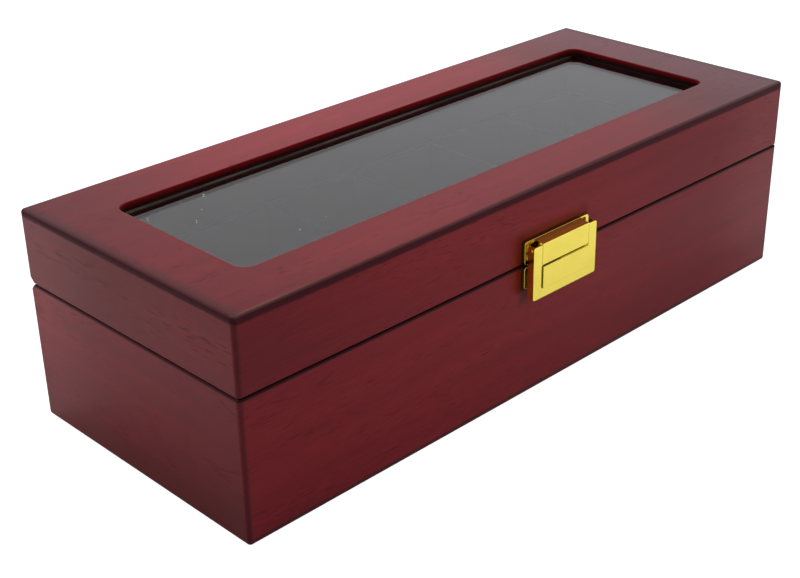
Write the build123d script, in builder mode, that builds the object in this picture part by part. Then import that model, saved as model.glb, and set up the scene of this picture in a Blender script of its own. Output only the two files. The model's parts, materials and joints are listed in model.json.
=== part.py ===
from build123d import *
import os

# Pocket watch display box, in millimetres. X runs along the box, the front faces -Y and Z is up.
# The origin is the middle of the underside, on the surface that the box stands on.

os.makedirs("parts", exist_ok=True)

# ---- Driving dimensions ----

# wooden case
LENGTH = 320.0  # outside of the walls, along X
DEPTH = 128.0  # outside of the walls, along Y
WALL = 10.0  # thickness of the mitred boards
FELT_T = 0.6  # felt sheet that the box stands on
BASE_HEIGHT = 59.0  # wooden height of the lower half
SEAM_GAP = 0.5  # daylight between the closed halves
LID_HEIGHT = 30.5  # wooden height of the lid
TOP_T = 8.0  # thickness of the lid's top panel
EDGE_R = 1.6  # round-over of the upright corners
RIM_R = 1.5  # round-over of the top and bottom edges
SEAM_EASE = 0.5  # sanded edges along the seam
BEVEL = 3.0  # 45 degree bevel along the back of the seam, where the open lid comes to rest
BEVEL_EASE = 0.5
PANEL_T = 4.0  # bottom panel
PANEL_REBATE = 4.0  # how far the bottom panel is let into the walls
FELT_INSET = 4.0  # from the walls' outside to the edge of the felt

# window in the lid
FRAME_W = 25.6  # width of wood round the window
WINDOW_R = 5.0
WINDOW_EASE = 0.8
GLASS_DROP = 3.4  # from the top of the lid down to the glass
GLASS_T = 2.5
GLASS_LAP = 4.5  # how far the glass rebate runs under the wood
GLASS_PLAY = 0.5  # room round the edge of the pane
GLASS_CHAMFER = 0.3

# velvet-covered lining boards
TRAY_T = 2.0
TRAY_DROP = 0.8  # from the rim down to the lining's top edge
LID_LINER_T = 1.5
LID_LINER_RAISE = 0.7  # from the lid's lower edge up to its lining
CEILING_T = 1.0
LINER_R = 0.6  # rounded fold of the covering
DIVIDER_T = 3.0
DIVIDER_R = 1.2
COMPARTMENTS = 6
CUSHION_GAP_X = 1.4  # between a cushion and the dividers
CUSHION_GAP_Y = 3.0  # between a cushion and the front and back lining
CUSHION_H = 32.0
CUSHION_CORNER = 9.0
CUSHION_CROWN = 7.0

# hinges
HINGE_X = 95.0  # from the middle of the box to the middle of a hinge
HINGE_LENGTH = 32.0
LEAF_T = 0.9
LEAF_W = 6.0  # from the pin's axis to the leaf's inner edge
BARREL_R = 1.6
HINGE_PIN_R = 0.7
KNUCKLES = 5
KNUCKLE_GAP = 0.2
PIN_PLAY = 0.05  # radial play where a hinge turns on its pin
PIN_GRIP = 0.01  # radial play where a pin is held fast
BARREL_ROOM = 0.3  # room cut in the wood round the barrel
HINGE_AXIS_OUT = 0.2  # how far the pin sits behind the point of the bevels
HINGE_SCREWS_X = (-11.0, 0.0, 11.0)
HINGE_SCREW_Y = 3.4  # from the pin's axis to the row of screws

# latch: heights are measured from the middle of the seam, depths from the front of the box
PLATE_W = 38.7
PLATE_T = 1.5
PLATE_R = 1.2
LID_PLATE_LOW, LID_PLATE_HIGH = 0.3, 10.1
BASE_PLATE_LOW, BASE_PLATE_HIGH = -10.2, -0.9
BLOCK_W = 28.0
BLOCK_LOW = 0.25
BLOCK_HIGH_BACK, BLOCK_HIGH_FRONT = 9.95, 9.25  # its top slopes down to the front
BLOCK_FRONT = 6.2
FLAP_W = 38.1
FLAP_LOW, FLAP_HIGH = -14.0, 8.8
FLAP_BACK, FLAP_FRONT = 2.7, 6.0
FLAP_T = 0.9
FLAP_SIDE_T = 1.2
FLAP_CORNER = 1.0
FLAP_EASE = 0.3
FLAP_LIP_BACK = 3.7  # the lower wall stays clear of the catch
FLAP_PLAY = 0.15  # between the flap and the hinge block
FLAP_SLOT_LOW = -0.15  # lower edge of the opening round the hinge block
PAD_LOW, PAD_HIGH = -9.7, -0.35
PAD_T = 0.5
LATCH_PIN_R = 0.6
LATCH_PIN_Z = 7.3
LATCH_PIN_OUT = 4.4
LATCH_PIN_PROUD = 0.3
CATCH_W = 10.0
CATCH_LOW, CATCH_HIGH = -7.5, -4.5
CATCH_NECK_OUT = 2.6
CATCH_HEAD_OUT = 3.4
CATCH_LIP = 0.8  # how far the head stands over the neck
CLIP_W = 12.0
CLIP_T = 0.35
CLIP_BEND = 0.5
CLIP_RIVET_X = 3.5
CLIP_RIVET_Z = -3.4
RIVET_R = 0.55
RIVET_HEAD_R = 1.1
RIVET_HEAD_T = 0.4
PLATE_SCREW_Z = 5.4  # above and below the seam
LID_PLATE_SCREW_X = 16.6
BASE_PLATE_SCREW_X = 13.0

# countersunk screws
SCREW_HEAD_R = 1.5
SCREW_SHANK_R = 0.8
SCREW_HEAD_H = 0.7
SCREW_LENGTH = 7.0
SCREW_POINT = 1.4
RECESS_L, RECESS_W, RECESS_D = 1.7, 0.35, 0.4

# ---- Derived levels and places ----

BASE_BOTTOM = FELT_T
BASE_TOP = BASE_BOTTOM + BASE_HEIGHT
LID_BOTTOM = BASE_TOP + SEAM_GAP
LID_TOP = LID_BOTTOM + LID_HEIGHT
SEAM_Z = (BASE_TOP + LID_BOTTOM) / 2
PANEL_TOP = BASE_BOTTOM + PANEL_T
TRAY_FLOOR = PANEL_TOP + TRAY_T
TRAY_TOP = BASE_TOP - TRAY_DROP
TOP_PANEL_Z = LID_TOP - TOP_T
GLASS_TOP = LID_TOP - GLASS_DROP
GLASS_BOTTOM = GLASS_TOP - GLASS_T
CEILING_Z = TOP_PANEL_Z - CEILING_T
INNER_L, INNER_D = LENGTH - 2 * WALL, DEPTH - 2 * WALL
WINDOW_L, WINDOW_D = LENGTH - 2 * FRAME_W, DEPTH - 2 * FRAME_W
REBATE_L, REBATE_D = WINDOW_L + 2 * GLASS_LAP, WINDOW_D + 2 * GLASS_LAP
HINGE_Y = DEPTH / 2 - BEVEL + HINGE_AXIS_OUT
CLEAR_L, CLEAR_D = INNER_L - 2 * TRAY_T, INNER_D - 2 * TRAY_T
CELL_W = (CLEAR_L - (COMPARTMENTS - 1) * DIVIDER_T) / COMPARTMENTS
CELL_PITCH = CELL_W + DIVIDER_T
FRONT = Plane.XZ.offset(DEPTH / 2)  # its X is the box's X, its Y is up, and it faces the viewer
LATCH_PIN_Y = -DEPTH / 2 - LATCH_PIN_OUT
BEYOND = 5.0  # how far a cutting shape runs past what it cuts


def finish(piece, name):
    """Label a finished piece and write it as a STEP file of the same name."""
    piece.part.label = name
    export_step(piece.part, f"parts/{name}.step")


# ---- Wooden walls ----


def outside_form(bottom, height):
    """The outside of one half of the case as a solid block with rounded upright corners."""
    with BuildPart() as block:
        with BuildSketch(Plane.XY.offset(bottom)):
            RectangleRounded(LENGTH, DEPTH, EDGE_R)
        extrude(amount=height)
    return block


def bevel_back(seam_level, material_side):
    """Cut the bevel along the back of the seam: material_side is -1 for the base and 1 for the lid."""
    back = DEPTH / 2
    with BuildSketch(Plane.YZ.offset(-LENGTH / 2 - BEYOND)) as wedge:
        with BuildLine():
            Polyline(
                (back - BEVEL - BEYOND, seam_level - material_side * BEYOND),
                (back + BEYOND, seam_level + material_side * (BEVEL + BEYOND)),
                (back + BEYOND, seam_level - material_side * BEYOND),
                close=True,
            )
        make_face()
    extrude(wedge.sketch, amount=LENGTH + 2 * BEYOND, mode=Mode.SUBTRACT)


def bevel_edges(form, seam_level, material_side):
    """The two long edges of the bevel along the back of a half."""
    near = 0.01
    along = form.edges().filter_by(Axis.X)
    inner_y = DEPTH / 2 - BEVEL
    outer_z = seam_level + material_side * BEVEL
    inner = along.filter_by_position(Axis.Y, inner_y - near, inner_y + near)
    outer = along.filter_by_position(Axis.Z, outer_z - near, outer_z + near)
    return inner + outer


def mitred_board(shell, side):
    """The quarter of a hollow shell that faces the given side, cut off at 45 degrees at its ends."""
    x, y = LENGTH / 2, DEPTH / 2
    out_x, out_y = x + BEYOND, y + BEYOND
    in_x, in_y = x - 2 * WALL, y - 2 * WALL
    outlines = {
        "front": [(-out_x, -out_y), (out_x, -out_y), (in_x, -in_y), (-in_x, -in_y)],
        "back": [(-out_x, out_y), (out_x, out_y), (in_x, in_y), (-in_x, in_y)],
        "left": [(-out_x, -out_y), (-out_x, out_y), (-in_x, in_y), (-in_x, -in_y)],
        "right": [(out_x, -out_y), (out_x, out_y), (in_x, in_y), (in_x, -in_y)],
    }
    with BuildPart() as board:
        add(shell.part)
        with BuildSketch(Plane.XY):
            with BuildLine():
                Polyline(*outlines[side], close=True)
            make_face()
        extrude(amount=LID_TOP + BEYOND, mode=Mode.INTERSECT)
    return board


SIDES = ("front", "back", "left", "right")

# lower half: four walls with a rebate for the bottom panel
with BuildPart() as base_form:
    add(outside_form(BASE_BOTTOM, BASE_HEIGHT).part)
    fillet(base_form.faces().sort_by(Axis.Z)[0].edges(), RIM_R)
    fillet(base_form.faces().sort_by(Axis.Z)[-1].edges(), SEAM_EASE)
    bevel_back(BASE_TOP, -1)
    fillet(bevel_edges(base_form, BASE_TOP, -1), BEVEL_EASE)

with BuildPart() as base_shell:
    add(base_form.part)
    with BuildSketch(Plane.XY.offset(BASE_BOTTOM - BEYOND)):
        Rectangle(INNER_L, INNER_D)
    extrude(amount=BASE_HEIGHT + 2 * BEYOND, mode=Mode.SUBTRACT)
    with BuildSketch(Plane.XY.offset(BASE_BOTTOM - BEYOND)):
        Rectangle(INNER_L + 2 * PANEL_REBATE, INNER_D + 2 * PANEL_REBATE)
    extrude(amount=PANEL_T + BEYOND, mode=Mode.SUBTRACT)

# lid: a top panel on four walls
with BuildPart() as lid_form:
    add(outside_form(LID_BOTTOM, LID_HEIGHT).part)
    fillet(lid_form.faces().sort_by(Axis.Z)[-1].edges(), RIM_R)
    fillet(lid_form.faces().sort_by(Axis.Z)[0].edges(), SEAM_EASE)
    bevel_back(LID_BOTTOM, 1)
    fillet(bevel_edges(lid_form, LID_BOTTOM, 1), BEVEL_EASE)

with BuildPart() as lid_shell:
    add(lid_form.part)
    split(bisect_by=Plane.XY.offset(TOP_PANEL_Z), keep=Keep.BOTTOM)
    with BuildSketch(Plane.XY.offset(LID_BOTTOM - BEYOND)):
        Rectangle(INNER_L, INNER_D)
    extrude(amount=LID_HEIGHT + 2 * BEYOND, mode=Mode.SUBTRACT)

# ---- Screws ----

with BuildPart() as screw_blank:
    # head's flat top at the local origin, point along -Z
    with BuildSketch(Plane.XZ):
        with BuildLine():
            Polyline(
                (0, 0),
                (SCREW_HEAD_R, 0),
                (SCREW_SHANK_R, -SCREW_HEAD_H),
                (SCREW_SHANK_R, SCREW_POINT - SCREW_LENGTH),
                (0, -SCREW_LENGTH),
                close=True,
            )
        make_face()
    revolve(axis=Axis.Z)

with BuildPart() as screw:
    add(screw_blank.part)
    for angle in (0, 90):
        Box(RECESS_L, RECESS_W, 2 * RECESS_D, rotation=(0, 0, angle), mode=Mode.SUBTRACT)


def screw_planes_hinge(level, up):
    """Where the hinge screws sit: up is 1 where the head faces up and -1 where it faces down."""
    return [
        Plane((side * HINGE_X + dx, HINGE_Y - HINGE_SCREW_Y, level), x_dir=(1, 0, 0), z_dir=(0, 0, up))
        for side in (-1, 1)
        for dx in HINGE_SCREWS_X
    ]


def screw_planes_latch(screw_x, height):
    """Where the two screws of a latch plate sit, with their heads flush with its front."""
    return [
        Plane((dx, -DEPTH / 2 - PLATE_T, SEAM_Z + height), x_dir=(1, 0, 0), z_dir=(0, -1, 0))
        for dx in (-screw_x, screw_x)
    ]


BASE_HINGE_SCREWS = screw_planes_hinge(BASE_TOP, 1)
LID_HINGE_SCREWS = screw_planes_hinge(LID_BOTTOM, -1)
LID_LATCH_SCREWS = screw_planes_latch(LID_PLATE_SCREW_X, PLATE_SCREW_Z)
BASE_LATCH_SCREWS = screw_planes_latch(BASE_PLATE_SCREW_X, -PLATE_SCREW_Z)

SCREW_SETS = {
    "hinge_base_screws": BASE_HINGE_SCREWS,
    "hinge_lid_screws": LID_HINGE_SCREWS,
    "latch_lid_screws": LID_LATCH_SCREWS,
    "latch_base_screws": BASE_LATCH_SCREWS,
}
for name, planes in SCREW_SETS.items():
    with BuildPart() as screws:
        with Locations(*planes):
            add(screw.part)
    finish(screws, name)


def cut_screw_holes(planes):
    """Cut the holes that a set of screws fills."""
    with Locations(*planes):
        add(screw_blank.part, mode=Mode.SUBTRACT)


def cut_hinge_mortises(level):
    """Let both hinges into a back board: a pocket for each leaf and a round channel for its barrel."""
    for side in (-1, 1):
        with Locations((side * HINGE_X, HINGE_Y - LEAF_W / 2, level)):
            Box(HINGE_LENGTH, LEAF_W, 2 * LEAF_T, mode=Mode.SUBTRACT)
        with Locations((side * HINGE_X, HINGE_Y, SEAM_Z)):
            Cylinder(
                BARREL_R + BARREL_ROOM,
                HINGE_LENGTH + 2 * BARREL_ROOM,
                rotation=(0, 90, 0),
                mode=Mode.SUBTRACT,
            )


# ---- Write the walls ----

for side in SIDES:
    with BuildPart() as base_board:
        add(mitred_board(base_shell, side).part)
        if side == "back":
            cut_hinge_mortises(BASE_TOP)
            cut_screw_holes(BASE_HINGE_SCREWS)
        if side == "front":
            cut_screw_holes(BASE_LATCH_SCREWS)
    finish(base_board, f"base_{side}_board")

    with BuildPart() as lid_board:
        add(mitred_board(lid_shell, side).part)
        if side == "back":
            cut_hinge_mortises(LID_BOTTOM)
            cut_screw_holes(LID_HINGE_SCREWS)
        if side == "front":
            cut_screw_holes(LID_LATCH_SCREWS)
    finish(lid_board, f"lid_{side}_board")

with BuildPart() as base_panel:
    with BuildSketch(Plane.XY.offset(BASE_BOTTOM)):
        Rectangle(INNER_L + 2 * PANEL_REBATE, INNER_D + 2 * PANEL_REBATE)
    extrude(amount=PANEL_T)
finish(base_panel, "base_panel")

with BuildPart() as underside_felt:
    with BuildSketch(Plane.XY):
        RectangleRounded(LENGTH - 2 * FELT_INSET, DEPTH - 2 * FELT_INSET, EDGE_R)
    extrude(amount=FELT_T)
finish(underside_felt, "underside_felt")

# ---- Lid top, glass and what holds it ----

with BuildPart() as lid_top_panel:
    add(lid_form.part)
    split(bisect_by=Plane.XY.offset(TOP_PANEL_Z), keep=Keep.TOP)
    with BuildSketch(Plane.XY.offset(LID_TOP)):
        RectangleRounded(WINDOW_L, WINDOW_D, WINDOW_R)
    extrude(amount=-TOP_T, mode=Mode.SUBTRACT)
    window_rim = lid_top_panel.faces().sort_by(Axis.Z)[-1].inner_wires()[0]
    fillet(window_rim.edges(), WINDOW_EASE)
    with BuildSketch(Plane.XY.offset(TOP_PANEL_Z)):
        Rectangle(REBATE_L, REBATE_D)
    extrude(amount=GLASS_TOP - TOP_PANEL_Z, mode=Mode.SUBTRACT)
finish(lid_top_panel, "lid_top_panel")

with BuildPart() as glass_pane:
    with BuildSketch(Plane.XY.offset(GLASS_BOTTOM)):
        Rectangle(REBATE_L - 2 * GLASS_PLAY, REBATE_D - 2 * GLASS_PLAY)
    extrude(amount=GLASS_T)
    chamfer(glass_pane.edges().filter_by(Axis.Z), GLASS_CHAMFER)
finish(glass_pane, "glass_pane")

# glazing beads: long ones at the front and back, short ones between them
bead_h = GLASS_BOTTOM - TOP_PANEL_Z
bead_y = (WINDOW_D + GLASS_LAP) / 2
bead_x = (WINDOW_L + GLASS_LAP) / 2
BEADS = {
    "front": ((0, -bead_y), (REBATE_L, GLASS_LAP)),
    "back": ((0, bead_y), (REBATE_L, GLASS_LAP)),
    "left": ((-bead_x, 0), (GLASS_LAP, WINDOW_D)),
    "right": ((bead_x, 0), (GLASS_LAP, WINDOW_D)),
}
for side, (centre, size) in BEADS.items():
    with BuildPart() as bead:
        with BuildSketch(Plane.XY.offset(TOP_PANEL_Z)):
            with Locations(centre):
                Rectangle(*size)
        extrude(amount=bead_h)
    finish(bead, f"glass_bead_{side}")

with BuildPart() as lid_ceiling:
    with BuildSketch(Plane.XY.offset(CEILING_Z)):
        Rectangle(INNER_L, INNER_D)
        RectangleRounded(WINDOW_L, WINDOW_D, WINDOW_R, mode=Mode.SUBTRACT)
    extrude(amount=CEILING_T)
finish(lid_ceiling, "lid_ceiling_liner")

# ---- Lining, dividers and cushions ----


def wall_liner(side, thickness, low, high, folded_face):
    """A covered board against one inner wall, its free edge rounded where the covering folds over."""
    long_side = side in ("front", "back")
    size = (INNER_L, thickness) if long_side else (thickness, INNER_D - 2 * thickness)
    offset_y = {"front": -1, "back": 1}.get(side, 0) * (INNER_D - thickness) / 2
    offset_x = {"left": -1, "right": 1}.get(side, 0) * (INNER_L - thickness) / 2
    with BuildPart() as liner:
        with BuildSketch(Plane.XY.offset(low)):
            with Locations((offset_x, offset_y)):
                Rectangle(*size)
        extrude(amount=high - low)
        free_edge = liner.faces().sort_by(Axis.Z)[folded_face]
        fillet(free_edge.edges().filter_by(Axis.X if long_side else Axis.Y), LINER_R)
    return liner


with BuildPart() as tray_floor:
    with BuildSketch(Plane.XY.offset(PANEL_TOP)):
        Rectangle(INNER_L, INNER_D)
    extrude(amount=TRAY_T)
finish(tray_floor, "tray_floor")

for side in SIDES:
    finish(wall_liner(side, TRAY_T, TRAY_FLOOR, TRAY_TOP, -1), f"tray_liner_{side}")
    low = LID_BOTTOM + LID_LINER_RAISE
    finish(wall_liner(side, LID_LINER_T, low, CEILING_Z, 0), f"lid_liner_{side}")

for i in range(COMPARTMENTS - 1):
    divider_x = -CLEAR_L / 2 + CELL_W + DIVIDER_T / 2 + i * CELL_PITCH
    with BuildPart() as divider:
        with BuildSketch(Plane.XY.offset(TRAY_FLOOR)):
            with Locations((divider_x, 0)):
                Rectangle(DIVIDER_T, CLEAR_D)
        extrude(amount=TRAY_TOP - TRAY_FLOOR)
        fillet(divider.faces().sort_by(Axis.Z)[-1].edges().filter_by(Axis.Y), DIVIDER_R)
    finish(divider, f"divider_{i + 1}")

for i in range(COMPARTMENTS):
    cushion_x = -CLEAR_L / 2 + CELL_W / 2 + i * CELL_PITCH
    with BuildPart() as cushion:
        with BuildSketch(Plane.XY.offset(TRAY_FLOOR)):
            with Locations((cushion_x, 0)):
                RectangleRounded(CELL_W - 2 * CUSHION_GAP_X, CLEAR_D - 2 * CUSHION_GAP_Y, CUSHION_CORNER)
        extrude(amount=CUSHION_H)
        fillet(cushion.faces().sort_by(Axis.Z)[-1].edges(), CUSHION_CROWN)
        fillet(cushion.faces().sort_by(Axis.Z)[0].edges(), CUSHION_CROWN)
    finish(cushion, f"cushion_{i + 1}")

# ---- Hinges ----


def hinge_leaf(centre_x, level, material_side, own):
    """A leaf let flush into a board, with knuckles round the pin at the places listed in own."""
    step = HINGE_LENGTH / KNUCKLES
    turns = own == LID_KNUCKLES
    with BuildPart() as leaf:
        with Locations((centre_x, HINGE_Y - LEAF_W / 2, level + material_side * LEAF_T / 2)):
            Box(HINGE_LENGTH, LEAF_W, LEAF_T)
        for k in range(KNUCKLES):
            place = (centre_x + (k + 0.5) * step - HINGE_LENGTH / 2, HINGE_Y, SEAM_Z)
            with Locations(place):
                if k in own:
                    Cylinder(BARREL_R, step - KNUCKLE_GAP, rotation=(0, 90, 0))
                else:
                    Cylinder(
                        BARREL_R + BARREL_ROOM / 2,
                        step + KNUCKLE_GAP,
                        rotation=(0, 90, 0),
                        mode=Mode.SUBTRACT,
                    )
        bore_r = HINGE_PIN_R + (PIN_PLAY if turns else PIN_GRIP)
        with Locations((centre_x, HINGE_Y, SEAM_Z)):
            Cylinder(bore_r, HINGE_LENGTH + BEYOND, rotation=(0, 90, 0), mode=Mode.SUBTRACT)
        cut_screw_holes(LID_HINGE_SCREWS if turns else BASE_HINGE_SCREWS)
    return leaf


BASE_KNUCKLES = (0, 2, 4)
LID_KNUCKLES = (1, 3)

for side, centre_x in (("left", -HINGE_X), ("right", HINGE_X)):
    finish(hinge_leaf(centre_x, BASE_TOP, -1, BASE_KNUCKLES), f"hinge_base_leaf_{side}")
    finish(hinge_leaf(centre_x, LID_BOTTOM, 1, LID_KNUCKLES), f"hinge_lid_leaf_{side}")
    with BuildPart() as hinge_pin:
        with Locations((centre_x, HINGE_Y, SEAM_Z)):
            Cylinder(HINGE_PIN_R, HINGE_LENGTH, rotation=(0, 90, 0))
    finish(hinge_pin, f"hinge_pin_{side}")

# ---- Latch ----


def front_rectangle(width, low, high, radius=0.0):
    """A rectangle in a front-facing sketch, centred on the latch, between two heights."""
    with Locations((0, SEAM_Z + (low + high) / 2)):
        if radius:
            RectangleRounded(width, high - low, radius)
        else:
            Rectangle(width, high - low)


with BuildPart() as latch_lid_plate:
    with BuildSketch(FRONT):
        front_rectangle(PLATE_W, LID_PLATE_LOW, LID_PLATE_HIGH, PLATE_R)
    extrude(amount=PLATE_T)
    fillet(latch_lid_plate.faces().sort_by(Axis.Y)[0].edges(), FLAP_EASE)
    with BuildSketch(Plane.YZ.offset(-BLOCK_W / 2)) as block_side:
        front = -DEPTH / 2
        with BuildLine():
            Polyline(
                (front, SEAM_Z + BLOCK_LOW),
                (front - BLOCK_FRONT, SEAM_Z + BLOCK_LOW),
                (front - BLOCK_FRONT, SEAM_Z + BLOCK_HIGH_FRONT),
                (front - PLATE_T, SEAM_Z + BLOCK_HIGH_BACK),
                (front, SEAM_Z + BLOCK_HIGH_BACK),
                close=True,
            )
        make_face()
    extrude(block_side.sketch, amount=BLOCK_W)
    fillet(latch_lid_plate.faces().sort_by(Axis.Y)[0].edges(), FLAP_EASE)
    with Locations((0, LATCH_PIN_Y, SEAM_Z + LATCH_PIN_Z)):
        Cylinder(LATCH_PIN_R + PIN_GRIP, PLATE_W, rotation=(0, 90, 0), mode=Mode.SUBTRACT)
    cut_screw_holes(LID_LATCH_SCREWS)
finish(latch_lid_plate, "latch_lid_plate")

with BuildPart() as latch_base_plate:
    with BuildSketch(FRONT):
        front_rectangle(PLATE_W, BASE_PLATE_LOW, BASE_PLATE_HIGH, PLATE_R)
    extrude(amount=PLATE_T)
    fillet(latch_base_plate.faces().sort_by(Axis.Y)[0].edges(), FLAP_EASE)
    with BuildSketch(FRONT):
        front_rectangle(CATCH_W, CATCH_LOW, CATCH_HIGH)
    extrude(amount=CATCH_NECK_OUT)
    with BuildSketch(FRONT.offset(CATCH_NECK_OUT)):
        front_rectangle(CATCH_W, CATCH_LOW - CATCH_LIP, CATCH_HIGH)
    extrude(amount=CATCH_HEAD_OUT - CATCH_NECK_OUT)
    cut_screw_holes(BASE_LATCH_SCREWS)
finish(latch_base_plate, "latch_base_plate")

with BuildPart() as latch_pin:
    with Locations((0, LATCH_PIN_Y, SEAM_Z + LATCH_PIN_Z)):
        Cylinder(LATCH_PIN_R, FLAP_W + 2 * LATCH_PIN_PROUD, rotation=(0, 90, 0))
finish(latch_pin, "latch_pin")

with BuildPart() as latch_flap:
    # outside of the cover
    with BuildSketch(FRONT.offset(FLAP_BACK)):
        front_rectangle(FLAP_W, FLAP_LOW, FLAP_HIGH, FLAP_CORNER)
    extrude(amount=FLAP_FRONT - FLAP_BACK)
    fillet(latch_flap.faces().sort_by(Axis.Y)[0].edges(), FLAP_EASE)
    # hollow behind it, open at the top
    with BuildSketch(FRONT.offset(FLAP_BACK)):
        front_rectangle(FLAP_W - 2 * FLAP_SIDE_T, FLAP_LOW + FLAP_SIDE_T, FLAP_HIGH + BEYOND)
    extrude(amount=FLAP_FRONT - FLAP_BACK - FLAP_T, mode=Mode.SUBTRACT)
    # the lower wall is cut back so that it passes the catch
    with BuildSketch(FRONT.offset(FLAP_BACK)):
        front_rectangle(FLAP_W - 2 * FLAP_SIDE_T, FLAP_LOW - BEYOND, FLAP_LOW + FLAP_SIDE_T)
    extrude(amount=FLAP_LIP_BACK - FLAP_BACK, mode=Mode.SUBTRACT)
    # opening round the hinge block
    with BuildSketch(FRONT):
        front_rectangle(BLOCK_W + 2 * FLAP_PLAY, FLAP_SLOT_LOW, FLAP_HIGH + BEYOND)
    extrude(amount=FLAP_FRONT + BEYOND, mode=Mode.SUBTRACT)
    # raised thumb pad
    with BuildSketch(FRONT.offset(FLAP_FRONT)):
        front_rectangle(BLOCK_W, PAD_LOW, PAD_HIGH)
    extrude(amount=PAD_T)
    # holes that turn on the pin
    with Locations((0, LATCH_PIN_Y, SEAM_Z + LATCH_PIN_Z)):
        Cylinder(LATCH_PIN_R + PIN_PLAY, FLAP_W + BEYOND, rotation=(0, 90, 0), mode=Mode.SUBTRACT)
finish(latch_flap, "latch_flap")

# sprung hook inside the flap, its centre line listed as distance out from the box and height
clip_plate_out = FLAP_FRONT - FLAP_T - CLIP_T / 2
clip_line = [
    (clip_plate_out, -1.6),
    (clip_plate_out, -7.2),
    (4.1, -8.9),
    (2.05, -8.9),
    (2.05, -7.8),
]
rivet_seats = [(dx, SEAM_Z + CLIP_RIVET_Z) for dx in (-CLIP_RIVET_X, CLIP_RIVET_X)]
with BuildPart() as latch_spring_clip:
    with BuildSketch(Plane.YZ.offset(-CLIP_W / 2)):
        with BuildLine():
            FilletPolyline(*[(-DEPTH / 2 - out, SEAM_Z + z) for out, z in clip_line], radius=CLIP_BEND)
        trace(line_width=CLIP_T)
    extrude(amount=CLIP_W)
    with BuildSketch(FRONT):
        with Locations(*rivet_seats):
            Circle(RIVET_R)
    extrude(amount=FLAP_FRONT, mode=Mode.SUBTRACT)
finish(latch_spring_clip, "latch_spring_clip")

with BuildPart() as latch_clip_rivets:
    clip_back_out = FLAP_FRONT - FLAP_T - CLIP_T
    with BuildSketch(FRONT.offset(clip_back_out)):
        with Locations(*rivet_seats):
            Circle(RIVET_R)
    extrude(amount=CLIP_T)
    with BuildSketch(FRONT.offset(clip_back_out - RIVET_HEAD_T)):
        with Locations(*rivet_seats):
            Circle(RIVET_HEAD_R)
    extrude(amount=RIVET_HEAD_T)
finish(latch_clip_rivets, "latch_clip_rivets")
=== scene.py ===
"""A display box for pocket watches.

Cherry-stained wood with a glazed lid, a gold-plated latch on the front and six velvet cushions inside.
"""

import json
import logging
import math
from collections.abc import Callable
from dataclasses import dataclass
from enum import Enum
from functools import reduce

import bmesh
import bpy
import numpy as np
from mathutils import Matrix, Vector
from mathutils.bvhtree import BVHTree

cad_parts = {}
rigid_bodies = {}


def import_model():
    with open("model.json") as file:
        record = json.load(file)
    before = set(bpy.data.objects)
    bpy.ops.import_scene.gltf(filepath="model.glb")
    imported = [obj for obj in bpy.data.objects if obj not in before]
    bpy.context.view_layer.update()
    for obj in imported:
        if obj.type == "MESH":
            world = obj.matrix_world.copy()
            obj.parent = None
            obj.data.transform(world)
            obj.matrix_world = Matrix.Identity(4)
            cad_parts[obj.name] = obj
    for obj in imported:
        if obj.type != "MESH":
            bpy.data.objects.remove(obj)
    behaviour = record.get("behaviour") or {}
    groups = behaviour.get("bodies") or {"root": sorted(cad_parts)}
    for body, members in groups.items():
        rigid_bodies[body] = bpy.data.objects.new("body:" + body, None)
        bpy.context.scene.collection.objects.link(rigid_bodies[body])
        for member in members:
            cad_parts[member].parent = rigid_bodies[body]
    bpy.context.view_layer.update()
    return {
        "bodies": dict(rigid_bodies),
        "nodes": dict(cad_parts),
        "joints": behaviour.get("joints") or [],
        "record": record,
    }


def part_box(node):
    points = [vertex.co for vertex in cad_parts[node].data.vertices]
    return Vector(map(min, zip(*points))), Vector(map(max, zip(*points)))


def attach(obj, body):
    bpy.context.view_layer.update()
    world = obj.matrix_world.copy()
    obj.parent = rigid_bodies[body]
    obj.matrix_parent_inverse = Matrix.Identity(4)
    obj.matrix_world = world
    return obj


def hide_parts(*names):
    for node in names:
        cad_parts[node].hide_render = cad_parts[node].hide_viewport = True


MM = 0.001
PER_METRE = 1000.0  # object coordinates are in metres and patterns are set out in millimetres
log = logging.getLogger("display_box")

Triple = tuple[float, float, float]
Colour = Triple
Span = tuple[float, float]
Ramp = tuple[float, float, float, float]  # the low and high of a value, and what they are taken to
Fade = tuple[str, float, float, float, float]  # the name of a spot's number, and a ramp
Fades = tuple[Fade, ...]
Material = bpy.types.Material
Nodes = dict[str, bpy.types.Object]
Socket = bpy.types.NodeSocket
Value = object  # an output to link a socket to, or a value of the socket's own
Inputs = dict[str | int, Value]

# the box, in millimetres
HALF_LENGTH = 160.0
HALF_DEPTH = 64.0
WALL = 10.0
FOOT = 0.6  # where the wood starts, above the felt
SEAM = 59.85  # the middle of the gap between the closed halves
LID_TOP = 90.6
SIDES = ("front", "back", "left", "right")


# ---- Node trees ----


def worked(operation: str) -> Callable[..., "Number"]:
    """A method that puts a number and what it is given through a Math node."""
    return lambda number, *others: number.graph.math(operation, number, *others)


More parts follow.
